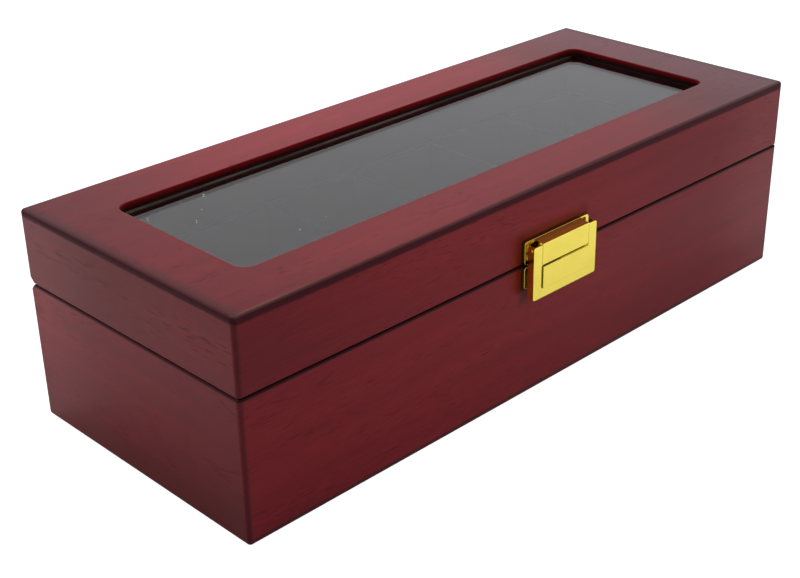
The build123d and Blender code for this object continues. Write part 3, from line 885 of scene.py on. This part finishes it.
@dataclass(frozen=True)
class WindowGlass:
    """Clear glass with a little lint on it."""

    tint: Colour = (0.94, 0.94, 0.95)
    lint: Colour = (0.66, 0.64, 0.58)
    ior: float = 1.5
    bits: tuple[Triple, ...] = (  # larger bits of lint: x, y and radius
        (-99.3, 30.3, 0.38),
        (-116.4, 12.3, 0.26),
        (-128.0, 27.0, 0.24),
        (47.2, -32.8, 0.24),
        (-40.0, -31.6, 0.22),
    )
    specks: float = 0.075  # specks to the millimetre
    speck_apart: float = 13.3  # about as far as one speck is from the next
    speck_size: Ramp = (0.45, 1.0, 0.0, 0.34)  # a little over half of them show
    lint_clear: Span = (1.0, 0.35)  # how much light passes beside lint and through it
    lint_roughness: float = 0.6
    smear: Pattern = Pattern((0.02, 0.03, 0.03), 3.0)
    smear_roughness: Ramp = (0.3, 0.8, 0.0, 0.012)

    def lint_mask(self, graph: Graph, place: Socket) -> Number:
        """1 on the lint: fine specks all over and the larger bits.

        Args:
            graph: The material's graph.
            place: Millimetres on the box.

        Returns:
            The mask.
        """
        inputs = {"Vector": place, "Scale": self.specks}
        specks = graph.node("ShaderNodeTexVoronoi", inputs, feature="F1").outputs
        size = graph.parts(specks["Color"])[0].ramp(*self.speck_size)
        spots = [Number(graph, specks["Distance"]) * self.speck_apart < size]
        for x, y, radius in self.bits:
            away = graph.vector("MULTIPLY", graph.vector("SUBTRACT", place, (x, y, 0.0)), (1.0, 1.0, 0.0))
            spots.append(graph.length(away) < radius)
        return most(*spots)

    def material(self) -> Material:
        """Glass that lets the light of the lamps through to the lining.

        Returns:
            The finish.
        """
        material, graph = empty_material("window_glass")
        place = graph.millimetres()
        lint = self.lint_mask(graph, place)
        smear = graph.noise(place, self.smear).ramp(*self.smear_roughness)
        glass = graph.node("ShaderNodeBsdfPrincipled", {
            "Base Color": graph.blend(lint, self.tint, self.lint),
            "Transmission Weight": lint.either(*self.lint_clear),
            "Roughness": most(smear, lint * self.lint_roughness),
            "IOR": self.ior,
        })
        clear = graph.node("ShaderNodeBsdfTransparent", {"Color": self.tint})
        shaders = {0: graph.rays("Shadow"), 1: glass.outputs[0], 2: clear.outputs[0]}
        graph.show(graph.node("ShaderNodeMixShader", shaders).outputs[0])
        return material


@dataclass(frozen=True)
class Fibreboard:
    """Pressed wood fibre, for the board behind the felt."""

    pale: Colour = (0.36, 0.25, 0.15)
    dark: Colour = (0.20, 0.13, 0.07)
    fibres: Pattern = Pattern((0.9, 1.6, 1.2), 5.0, 0.7)
    tone: Ramp = (0.3, 0.7, 0.0, 1.0)
    roughness: Ramp = (0.3, 0.7, 0.75, 0.9)
    relief_mm: float = 0.05
    relief_strength: float = 0.5

    def material(self) -> Material:
        """The board as a material.

        Returns:
            The finish.
        """
        material, graph, surface = surface_material("pressed_board")
        fibres = graph.noise(graph.millimetres(), self.fibres)
        graph.fill(surface, {
            "Base Color": graph.blend(fibres.ramp(*self.tone), self.dark, self.pale),
            "Roughness": fibres.ramp(*self.roughness),
            "Normal": graph.bump(fibres, self.relief_mm, self.relief_strength),
        })
        return material


PLATE_Y = (-65.8, -63.9)
# strips of painted shade on the latch
LATCH_CREASES = (
    Crease((-14.25, -13.9), (50.1, 59.7), 0.80),  # left of the thumb pad
    Crease((-14.2, -3.0), (59.45, 59.78), 0.66),  # between the pad and the hinge block
    Crease((-3.0, 13.4), (59.45, 59.75), 0.38),
    Crease((-12.5, 13.2), (49.95, 50.25), 0.30),  # under the pad
    Crease((13.9, 14.2), (51.0, 68.6), 0.15),  # right of the pad and the block
    Crease((-19.5, 14.4), (69.45, 70.1), 0.60, PLATE_Y),  # along the top of the lid's plate
    Crease((-19.5, -18.9), (49.5, 70.1), 0.55, PLATE_Y),  # down the left of both plates
)
GOLD_PLATE = Metal("gold_plate", (0.965, 0.805, 0.132), (0.925, 0.765, 0.120), (0.08, 0.17), LATCH_CREASES)
HINGE_BRASS = Metal("hinge_brass", (0.72, 0.52, 0.20), (0.50, 0.34, 0.12), (0.25, 0.42))
SPRING_STEEL = Metal("spring_steel", (0.55, 0.56, 0.58), (0.40, 0.41, 0.42), (0.22, 0.36))
LINING_VELVET = Pile(
    name="lining_velvet",
    ground=(0.0022, 0.0022, 0.0024),
    brushed=(0.0048, 0.0048, 0.0052),
    tuft=3.2,
    depth_mm=0.03,
    sheen=0.05,
    sheen_roughness=0.4,
    sheen_tint=(0.5, 0.5, 0.54),
)
CUSHION_VELVET = Pile(
    name="cushion_velvet",
    ground=(0.0024, 0.0023, 0.0026),
    brushed=(0.0080, 0.0074, 0.0080),
    tuft=2.8,
    depth_mm=0.08,
    sheen=0.12,
    sheen_roughness=0.4,
    sheen_tint=(0.55, 0.55, 0.6),
)
CASE_FELT = Pile(
    name="case_felt",
    ground=(0.008, 0.008, 0.008),
    brushed=(0.022, 0.022, 0.022),
    tuft=1.6,
    depth_mm=0.25,
    sheen=0.2,
    sheen_roughness=0.6,
)
SEAM_THREAD = Pile(
    name="seam_thread",
    ground=(0.010, 0.010, 0.011),
    brushed=(0.030, 0.029, 0.030),
    tuft=6.0,
    depth_mm=0.05,
    sheen=0.1,
    sheen_roughness=0.5,
)


# ---- Sub-assemblies ----

BOARD_RUNS = {GrainRun.ALONG_LENGTH: ("front", "back"), GrainRun.ALONG_DEPTH: ("left", "right")}
Boards = dict[GrainRun, bpy.types.Material]


def coat(nodes: Nodes, names: list[str], material: Material) -> None:
    """Give carried-over solids their finish.

    Args:
        nodes: The solids by name.
        names: Which of them take the finish.
        material: The finish.
    """
    for name in names:
        slots = nodes[name].data.materials
        slots.clear()
        slots.append(material)
    log.info("%s: %d solids", material.name, len(names))


def coat_walls(nodes: Nodes, half: str, boards: Boards) -> None:
    """Finish the four boards round one half of the box."""
    for run, sides in BOARD_RUNS.items():
        coat(nodes, [f"{half}_{side}_board" for side in sides], boards[run])


@dataclass(frozen=True)
class WoodenCase:
    """The lower half: four mitred boards on a felted bottom, lined and divided."""

    dividers: int = 5
    panel: Fibreboard = Fibreboard()
    felt: Pile = CASE_FELT

    def dress(self, nodes: Nodes, boards: Boards, velvet: Material) -> None:
        """Finish the walls, the bottom and the lining.

        Args:
            nodes: The solids by name.
            boards: The wood's finish for each run of the grain.
            velvet: The lining's finish.
        """
        coat_walls(nodes, "base", boards)
        coat(nodes, ["base_panel"], self.panel.material())
        coat(nodes, ["underside_felt"], self.felt.material())
        lining = ["tray_floor", *[f"tray_liner_{side}" for side in SIDES]]
        lining += [f"divider_{i + 1}" for i in range(self.dividers)]
        coat(nodes, lining, velvet)


@dataclass(frozen=True)
class GlazedLid:
    """The lid: four boards under one top panel with a window."""

    bead: DarkBead = DarkBead()
    glass: WindowGlass = WindowGlass()

    def dress(self, nodes: Nodes, boards: Boards, velvet: Material) -> None:
        """Finish the lid's wood, glass and lining.

        Args:
            nodes: The solids by name.
            boards: The wood's finish for each run of the grain.
            velvet: The lining's finish.
        """
        coat_walls(nodes, "lid", boards)
        coat(nodes, ["lid_top_panel"], boards[GrainRun.ALONG_LENGTH])
        coat(nodes, [f"glass_bead_{side}" for side in SIDES], self.bead.material())
        coat(nodes, ["glass_pane"], self.glass.material())
        coat(nodes, ["lid_ceiling_liner", *[f"lid_liner_{side}" for side in SIDES]], velvet)


@dataclass(frozen=True)
class Fittings:
    """The latch on the front and the two hinges at the back."""

    gold: Metal = GOLD_PLATE
    brass: Metal = HINGE_BRASS
    steel: Metal = SPRING_STEEL

    def dress(self, nodes: Nodes) -> None:
        """Finish the metal.

        Args:
            nodes: The solids by name.
        """
        parts = ("base_plate", "lid_plate", "base_screws", "lid_screws", "pin", "flap")
        coat(nodes, [f"latch_{part}" for part in parts], self.gold.material())
        hinges = ["hinge_base_screws", "hinge_lid_screws"]
        for side in ("left", "right"):
            hinges += [f"hinge_{part}_{side}" for part in ("base_leaf", "lid_leaf", "pin")]
        coat(nodes, hinges, self.brass.material())
        coat(nodes, ["latch_spring_clip", "latch_clip_rivets"], self.steel.material())


# ---- Pieces that follow a line ----

Line = list[Vector]
Sizes = dict[str, float]


class LineTree(Graph):
    """A geometry tree that makes a piece along lines, with an input for each of its sizes."""

    def __init__(self, name: str, sizes: Sizes) -> None:
        """Start with the inputs and the output.

        Args:
            name: What the tree makes.
            sizes: Its sizes by name.
        """
        tree = bpy.data.node_groups.new(name, "GeometryNodeTree")
        super().__init__(tree)
        self.add_input("Geometry", "NodeSocketGeometry")
        for label, value in sizes.items():
            kind = "NodeSocketInt" if isinstance(value, int) else "NodeSocketFloat"
            self.add_input(label, kind).default_value = value
        self.add_input("Material", "NodeSocketMaterial")
        tree.interface.new_socket("Geometry", in_out="OUTPUT", socket_type="NodeSocketGeometry")
        self.given = self.node("NodeGroupInput").outputs

    def add_input(self, label: str, kind: str) -> bpy.types.NodeTreeInterfaceSocket:
        """Add an input of some kind of socket."""
        return self.tree.interface.new_socket(label, in_out="INPUT", socket_type=kind)

    def closed(self, geometry: Socket) -> bpy.types.NodeTree:
        """End the tree in plain, smooth, finished mesh.

        Args:
            geometry: What it has made.

        Returns:
            The tree.
        """
        real = self.node("GeometryNodeRealizeInstances", {0: geometry})
        smooth = self.node("GeometryNodeSetShadeSmooth", {0: real.outputs[0]})
        inputs = {"Geometry": smooth.outputs[0], "Material": self.given["Material"]}
        dressed = self.node("GeometryNodeSetMaterial", inputs)
        self.node("NodeGroupOutput", {0: dressed.outputs[0]})
        return self.tree


@dataclass(frozen=True)
class SeamCord:
    """A round cord, in metres."""

    radius: float = 0.0007
    stand: float = 0.0003  # how far its middle stands off the cover
    sides: int = 10

    def sizes(self) -> Sizes:
        """The sizes that its tree takes."""
        return {"Cord Radius": self.radius}

    def tree(self) -> bpy.types.NodeTree:
        """The cord along each line.

        Returns:
            The tree.
        """
        graph = LineTree("SeamCord", self.sizes())
        circle = {"Resolution": self.sides, "Radius": graph.given["Cord Radius"]}
        ring = graph.node("GeometryNodeCurvePrimitiveCircle", circle)
        inputs = {"Curve": graph.given["Geometry"], "Profile Curve": ring.outputs[0]}
        return graph.closed(graph.node("GeometryNodeCurveToMesh", inputs).outputs[0])


@dataclass(frozen=True)
class StitchRow:
    """A row of stitches, each a slim bead of thread that lies along its line, in metres."""

    spacing: float = 0.0030
    length: float = 0.0019
    radius: float = 0.00017
    stand: float = 0.00002  # how far it stands off the cover
    uneven: Span = (0.85, 1.1)  # the shortest and longest, as shares of the length
    segments: int = 6
    rings: int = 5
    seed: int = 7

    def sizes(self) -> Sizes:
        """The sizes that its tree takes."""
        return {"Spacing": self.spacing, "Length": self.length, "Radius": self.radius, "Seed": self.seed}

    def tree(self) -> bpy.types.NodeTree:
        """The stitches along each line.

        Returns:
            The tree.
        """
        graph = LineTree("StitchRow", self.sizes())
        given = graph.given
        curve = {"Curve": given["Geometry"], "Length": given["Spacing"]}
        spaced = graph.node("GeometryNodeResampleCurve", curve, mode="LENGTH")
        ball = {"Segments": self.segments, "Rings": self.rings, "Radius": 0.5}  # 1 across, to be scaled
        bead = graph.node("GeometryNodeMeshUVSphere", ball)
        tangent = graph.node("GeometryNodeInputTangent").outputs[0]
        along = graph.node("FunctionNodeAlignRotationToVector", {"Vector": tangent}, axis="X")
        span = dict(enumerate(self.uneven, 2))
        share = graph.number("FunctionNodeRandomValue", {**span, "Seed": given["Seed"]}, 1, data_type="FLOAT")
        long_way = Number(graph, given["Length"]) * share
        thick = Number(graph, given["Radius"]) * 2.0
        placed = graph.node("GeometryNodeInstanceOnPoints", {
            "Points": spaced.outputs[0],
            "Instance": bead.outputs["Mesh"],
            "Rotation": along.outputs[0],
            "Scale": graph.joined(long_way, thick, thick),
        })
        return graph.closed(placed.outputs[0])


def linked_object(name: str, data: bpy.types.ID) -> bpy.types.Object:
    """A new object in the scene.

    Args:
        name: What it is called.
        data: What it shows.

    Returns:
        The object.
    """
    made = bpy.data.objects.new(name, data)
    bpy.context.scene.collection.objects.link(made)
    return made


def evaluated_mesh(piece: bpy.types.Object) -> bpy.types.Mesh:
    """A piece as its modifiers make it."""
    state = bpy.context.evaluated_depsgraph_get()
    return bpy.data.meshes.new_from_object(piece.evaluated_get(state))


def line_piece(
    name: str, lines: list[Line], maker: SeamCord | StitchRow, material: Material
) -> bpy.types.Object:
    """Run a geometry tree along closed lines and keep the result as a plain mesh.

    Args:
        name: What the piece is called.
        lines: The closed lines it follows.
        maker: What is made along them.
        material: Its finish.

    Returns:
        The piece.
    """
    curve = bpy.data.curves.new(f"{name}_lines", "CURVE")
    curve.dimensions = "3D"
    for line in lines:
        spline = curve.splines.new("POLY")
        spline.points.add(len(line) - 1)
        for point, place in zip(spline.points, line):
            point.co = (*place, 1.0)
        spline.use_cyclic_u = True
    carrier = linked_object(f"{name}_lines", curve)
    modifier = carrier.modifiers.new(name, "NODES")
    tree = modifier.node_group = maker.tree()
    for label, value in {**maker.sizes(), "Material": material}.items():
        socket = next(s for s in tree.interface.items_tree if s.in_out == "INPUT" and s.name == label)
        modifier[socket.identifier] = value
    mesh = evaluated_mesh(carrier)
    bpy.data.objects.remove(carrier)
    log.info("%s: %d faces", name, len(mesh.polygons))
    return linked_object(name, mesh)


# ---- The cushions ----

Faces = list[list[int]]


@dataclass(frozen=True)
class Stuffing:
    """How a cushion's case is filled by cloth simulation, at a working size of ten times its own."""

    scale: float = 10.0
    weld: float = 1e-6  # in metres, before it is scaled
    voxel: float = 0.036
    slack: float = 0.94  # size of the case before it is stuffed
    pressure: float = 4.0
    stiffness: float = 12.0
    bending: float = 0.4
    frames: int = 20
    most_move: float = 0.022

    def case(self, node: bpy.types.Object) -> bpy.types.Mesh:
        """The case before it is stuffed: the solid, welded, centred and a little smaller.

        Args:
            node: The solid that the cushion stands for.

        Returns:
            The case.
        """
        low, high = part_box(node.name)
        mesh = node.data.copy()
        form = bmesh.new()
        form.from_mesh(mesh)
        bmesh.ops.remove_doubles(form, verts=form.verts, dist=self.weld)
        centred = Matrix.Translation(-(low + high) / 2)
        sized = Matrix.Scale(self.slack * self.scale, 4)
        bmesh.ops.transform(form, matrix=sized @ centred, verts=form.verts)
        form.to_mesh(mesh)
        form.free()
        return mesh

    @staticmethod
    def settle(piece: bpy.types.Object) -> np.ndarray:
        """Turn a piece's modifiers into its mesh, and give that mesh's points as rows.

        Args:
            piece: The piece.

        Returns:
            The points.
        """
        mesh = evaluated_mesh(piece)
        piece.modifiers.clear()
        piece.data = mesh
        flat = np.zeros(len(mesh.vertices) * 3, np.float32)
        mesh.vertices.foreach_get("co", flat)
        return flat.reshape(-1, 3).astype(float)

    def blow_up(self, piece: bpy.types.Object) -> None:
        """Press the case out from inside, frame by frame.

        Args:
            piece: The case.
        """
        cloth = piece.modifiers.new("Stuffing", "CLOTH")
        cloth.settings.use_pressure = True
        cloth.settings.uniform_pressure_force = self.pressure
        cloth.settings.effector_weights.gravity = 0.0
        cloth.settings.tension_stiffness = self.stiffness
        cloth.settings.compression_stiffness = self.stiffness
        cloth.settings.bending_stiffness = self.bending
        for frame in range(1, self.frames + 1):
            bpy.context.scene.frame_set(frame)

    def stuffed(self, node: bpy.types.Object) -> tuple[np.ndarray, Faces]:
        """Stuff one cushion.

        Args:
            node: The solid that the cushion stands for.

        Returns:
            Its points round its own centre, in metres, and its faces.
        """
        piece = linked_object("cushion_work", self.case(node))
        weave = piece.modifiers.new("Weave", "REMESH")
        weave.mode = "VOXEL"
        weave.voxel_size = self.voxel
        rest = points = self.settle(piece)
        self.blow_up(piece)
        points = self.settle(piece)
        moved = points - rest
        reach = np.maximum(np.linalg.norm(moved, axis=1, keepdims=True), 1e-9)
        points = rest + moved * np.minimum(1.0, self.most_move / reach)
        piece.data.vertices.foreach_set("co", points.astype(np.float32).ravel())
        smooth = piece.modifiers.new("Even", "SUBSURF")
        smooth.levels = smooth.render_levels = 1
        points = self.settle(piece) / self.scale
        faces = [list(face.vertices) for face in piece.data.polygons]
        bpy.data.objects.remove(piece)
        return points, faces


@dataclass(frozen=True)
class WatchCushions:
    """Six stuffed velvet cushions with a corded seam round each and stitches beside it, in metres."""

    count: int = 6
    stuffing: Stuffing = Stuffing()
    cover: Pile = CUSHION_VELVET
    thread: Pile = SEAM_THREAD
    cord: SeamCord = SeamCord()
    stitches: StitchRow = StitchRow()
    stitch_rise: float = 0.0019  # above and below the seam
    inset: float = 0.0008  # room for the cord on each side
    dent: float = 0.00045
    waves: int = 4
    wave_turns: Span = (120.0, 260.0)  # radians to the metre
    wave_starts: Span = (0.0, 6.28)
    draw_width: float = 0.0022  # the seam draws the cover in
    draw_depth: float = 0.0011
    seam_points: int = 72
    beyond: float = 0.2  # from the middle to well outside a cushion
    seed: int = 7

    def dents(self, placed: np.ndarray, which: int) -> np.ndarray:
        """How deep a cushion is dented at each point, in a way of its own.

        Args:
            placed: The cushion's points.
            which: Its number.

        Returns:
            The depths.
        """
        random = np.random.default_rng(self.seed + which)
        waves = np.zeros(len(placed))
        for _ in range(self.waves):
            direction = random.normal(size=3)
            direction *= random.uniform(*self.wave_turns) / np.linalg.norm(direction)
            waves += np.sin(placed @ direction + random.uniform(*self.wave_starts)) / self.waves
        return self.dent * (1.0 + waves)

    def fitted(self, points: np.ndarray, low: Vector, high: Vector, which: int) -> np.ndarray:
        """Set a stuffed form into its compartment, with its own dents and a seam drawn in round its middle.

        Args:
            points: The form's points.
            low: The compartment's lowest corner.
            high: Its highest corner.
            which: The cushion's number.

        Returns:
            The cushion's points.
        """
        size = np.array(high - low) - np.array([2, 2, 0]) * self.inset
        unit = (points - (points.max(0) + points.min(0)) / 2) / (points.max(0) - points.min(0))  # -0.5 to 0.5
        if which % 2:
            unit = unit * np.array([-1.0, -1.0, 1.0])
        placed = unit * size
        outward = placed / np.linalg.norm(placed / size, axis=1, keepdims=True)
        outward /= np.linalg.norm(outward, axis=1, keepdims=True)
        placed -= outward * self.dents(placed, which)[:, None]
        drawn = np.exp(-((placed[:, 2] / self.draw_width) ** 2)) * self.draw_depth
        placed[:, :2] -= outward[:, :2] * drawn[:, None]
        placed[:, 2] = np.maximum(placed[:, 2], -size[2] / 2 + self.dent)
        placed[:, 2] -= placed[:, 2].min() + size[2] / 2
        return placed + np.array((low + high) / 2)

    def line_round(self, points: np.ndarray, faces: Faces, rise: float, stand: float) -> Line:
        """A closed line round a cushion.

        Args:
            points: The cushion's points.
            faces: Its faces.
            rise: How far above the middle the line runs.
            stand: How far the line stands off the cover.

        Returns:
            The line's points.
        """
        tree = BVHTree.FromPolygons([Vector(p) for p in points], faces)
        middle = Vector((points.max(0) + points.min(0)) / 2) + Vector((0, 0, rise))
        half = (points.max(0) - points.min(0)) / 2
        line = []
        for step in range(self.seam_points):
            turn = 2 * math.pi * step / self.seam_points
            aim = Vector((half[0] * math.cos(turn), half[1] * math.sin(turn), 0.0)).normalized()
            hit = tree.ray_cast(middle + aim * self.beyond, -aim)[0]
            line.append(hit + aim * stand)
        return line

    def cushion(self, name: str, points: np.ndarray, faces: Faces, velvet: Material) -> None:
        """Add one cushion in the place of its solid.

        Args:
            name: The solid's name.
            points: Its points.
            faces: Its faces.
            velvet: Its finish.
        """
        mesh = bpy.data.meshes.new(f"velvet_{name}")
        mesh.from_pydata([tuple(p) for p in points], [], faces)
        mesh.materials.append(velvet)
        mesh.polygons.foreach_set("use_smooth", [True] * len(mesh.polygons))
        cushion = linked_object(f"velvet_{name}", mesh)
        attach(cushion, "base")
        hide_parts(name)
        log.info("%s: %d points", cushion.name, len(points))

    def build(self, nodes: Nodes) -> None:
        """Make the six cushions, their corded seams and the stitches beside them.

        Args:
            nodes: The solids by name.
        """
        velvet = self.cover.material()
        form, faces = self.stuffing.stuffed(nodes["cushion_1"])
        seams, rows = [], []
        for which in range(1, self.count + 1):
            name = f"cushion_{which}"
            low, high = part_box(name)
            points = self.fitted(form, low, high, which)
            self.cushion(name, points, faces, velvet)
            seams.append(self.line_round(points, faces, 0.0, self.cord.stand))
            for rise in (-self.stitch_rise, self.stitch_rise):
                rows.append(self.line_round(points, faces, rise, self.stitches.stand))
        cord = line_piece("cushion_seam_cord", seams, self.cord, velvet)
        row = line_piece("cushion_stitches", rows, self.stitches, self.thread.material())
        for piece in (cord, row):
            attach(piece, "base")


# ---- Studio ----


@dataclass(frozen=True)
class SoftLamp:
    """A square soft box that points at the display box. Neither the glass nor the lacquer mirrors it."""

    name: str
    place: Triple
    side: float
    watts: float
    aim: Triple = (0.0, 0.0, 0.05)

    def hang(self) -> None:
        """Put the lamp in the studio."""
        lamp = bpy.data.lights.new(self.name, "AREA")
        lamp.shape = "SQUARE"
        lamp.size = self.side
        lamp.energy = self.watts
        stand = linked_object(self.name, lamp)
        stand.location = self.place
        stand.rotation_euler = (Vector(self.aim) - Vector(self.place)).to_track_quat("-Z", "Y").to_euler()
        stand.visible_glossy = stand.visible_transmission = False


@dataclass(frozen=True)
class Studio:
    """A white floor under soft light, with the camera above the box's near left corner."""

    lamps: tuple[SoftLamp, ...] = (
        SoftLamp("overhead_soft_box", (0.02, 0.22, 0.62), 0.40, 1.75),
        SoftLamp("right_soft_box", (0.85, -0.70, 0.50), 0.50, 1.6),
        SoftLamp("left_soft_box", (-0.80, 0.75, 0.50), 0.50, 3.6),
        SoftLamp("front_soft_box", (0.15, -0.95, 0.55), 0.50, 3.7),
    )
    sky: Colour = (1.0, 1.0, 1.0)
    sky_strength: Span = (0.40, 1.0)  # as light, and as it is seen
    backdrop_grey: float = 0.60
    backdrop_tint: Colour = (1.0, 0.99, 1.015)
    backdrop_place: Triple = (1.35, 1.40, 0.95)
    backdrop_half: float = 1.6
    floor_side: float = 12.0
    floor_shade: Span = (0.35, 0.97)  # as light falls on it, and as it is mirrored
    floor_glow: Ramp = (0.26, 0.75, 0.92, 1.0)  # by metres from the middle of the box
    azimuth: float = math.radians(-43.948)
    elevation: float = math.radians(26.727)
    roll: float = math.radians(-1.130)
    distance: float = 0.5730
    aim: Triple = (-0.04654, -0.02370, 0.0456)
    focal_pixels: float = 1434.3
    picture_width: float = 800.0
    sensor: float = 36.0
    clip_start: float = 0.01

    def light(self) -> None:
        """Set the world and hang the lamps."""
        world = bpy.data.worlds.new("studio")
        world.use_nodes = True
        bpy.context.scene.world = world
        graph = Graph(world.node_tree)
        strength = graph.rays("Camera", "Glossy", "Transmission").either(*self.sky_strength)
        sky = graph.node("ShaderNodeBackground", {"Color": self.sky, "Strength": strength})
        graph.show(sky.outputs[0], "ShaderNodeOutputWorld")
        for lamp in self.lamps:
            lamp.hang()

    def floor(self) -> None:
        """Lay the floor, which shows white, keeps the box's shadow and is cut out under its felt."""
        low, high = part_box("underside_felt")
        far = self.floor_side / 2
        inner = [(low.x, low.y), (high.x, low.y), (high.x, high.y), (low.x, high.y)]
        outer = [(math.copysign(far, x), math.copysign(far, y)) for x, y in inner]
        material, graph = empty_material("studio_floor")
        shade = graph.rays("Glossy").either(*self.floor_shade)
        paper = graph.node("ShaderNodeBsdfDiffuse", {"Color": graph.joined(shade, shade, shade)})
        away = graph.length(graph.node("ShaderNodeTexCoord").outputs["Object"])
        strength = graph.rays("Camera", "Transmission") * away.ramp(*self.floor_glow)
        glow = graph.node("ShaderNodeEmission", {"Strength": strength})
        both = graph.node("ShaderNodeAddShader", {0: paper.outputs[0], 1: glow.outputs[0]})
        graph.show(both.outputs[0])
        ring = [(i, (i + 1) % 4, 4 + (i + 1) % 4, 4 + i) for i in range(4)]
        self.sheet("studio_floor", [(x, y, 0.0) for x, y in outer + inner], material, ring)

    def backdrop(self) -> None:
        """Hang a pale grey backdrop behind the box, which only the glass and the lacquer show."""
        material, graph = empty_material("studio_backdrop")
        glow = {"Color": self.backdrop_tint, "Strength": self.backdrop_grey}
        graph.show(graph.node("ShaderNodeEmission", glow).outputs[0])
        place = Vector(self.backdrop_place)
        across = Vector((0, 0, 1)).cross(place).normalized() * self.backdrop_half
        rise = Vector((0, 0, place.z))
        corner_sides = ((-1, -1), (1, -1), (1, 1), (-1, 1))
        points = [place + across * aside + rise * up for aside, up in corner_sides]
        piece = self.sheet("studio_backdrop", points, material, [(0, 1, 2, 3)])
        piece.visible_camera = piece.visible_diffuse = piece.visible_shadow = False

    @staticmethod
    def sheet(
        name: str, points: list[Vector | Triple], material: Material, faces: list[tuple[int, ...]]
    ) -> bpy.types.Object:
        """Add a flat sheet to the studio.

        Args:
            name: What it is called.
            points: Its corners.
            material: Its finish.
            faces: Its faces, by the numbers of their corners.

        Returns:
            The sheet.
        """
        mesh = bpy.data.meshes.new(name)
        mesh.from_pydata([tuple(corner) for corner in points], [], faces)
        mesh.materials.append(material)
        sheet = linked_object(name, mesh)
        return sheet

    def camera(self) -> None:
        """Set up the camera."""
        lens = bpy.data.cameras.new("camera")
        lens.sensor_fit = "HORIZONTAL"
        lens.sensor_width = self.sensor
        lens.lens = self.sensor * self.focal_pixels / self.picture_width
        lens.clip_start = self.clip_start
        flat, rise = math.cos(self.elevation), math.sin(self.elevation)
        back = Vector((math.sin(self.azimuth) * flat, -math.cos(self.azimuth) * flat, rise))
        across = Vector((0, 0, 1)).cross(back).normalized()
        up = back.cross(across)
        tilted = math.cos(self.roll) * across + math.sin(self.roll) * up
        upright = math.cos(self.roll) * up - math.sin(self.roll) * across
        turn = Matrix((tilted, upright, back)).transposed().to_4x4()
        holder = linked_object("camera", lens)
        holder.matrix_world = Matrix.Translation(Vector(self.aim) + back * self.distance) @ turn
        bpy.context.scene.camera = holder
        bpy.context.scene.view_settings.view_transform = "Standard"


def main() -> None:
    """Build and dress the display box."""
    logging.basicConfig(level=logging.INFO, format="%(name)s: %(message)s")
    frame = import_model()
    nodes: Nodes = frame["nodes"]
    boards = {run: CherryLacquer().material(run) for run in GrainRun}
    velvet = LINING_VELVET.material()
    WoodenCase().dress(nodes, boards, velvet)
    GlazedLid().dress(nodes, boards, velvet)
    Fittings().dress(nodes)
    WatchCushions().build(nodes)
    studio = Studio()
    studio.light()
    studio.floor()
    studio.backdrop()
    studio.camera()


if __name__ == "__main__":
    main()
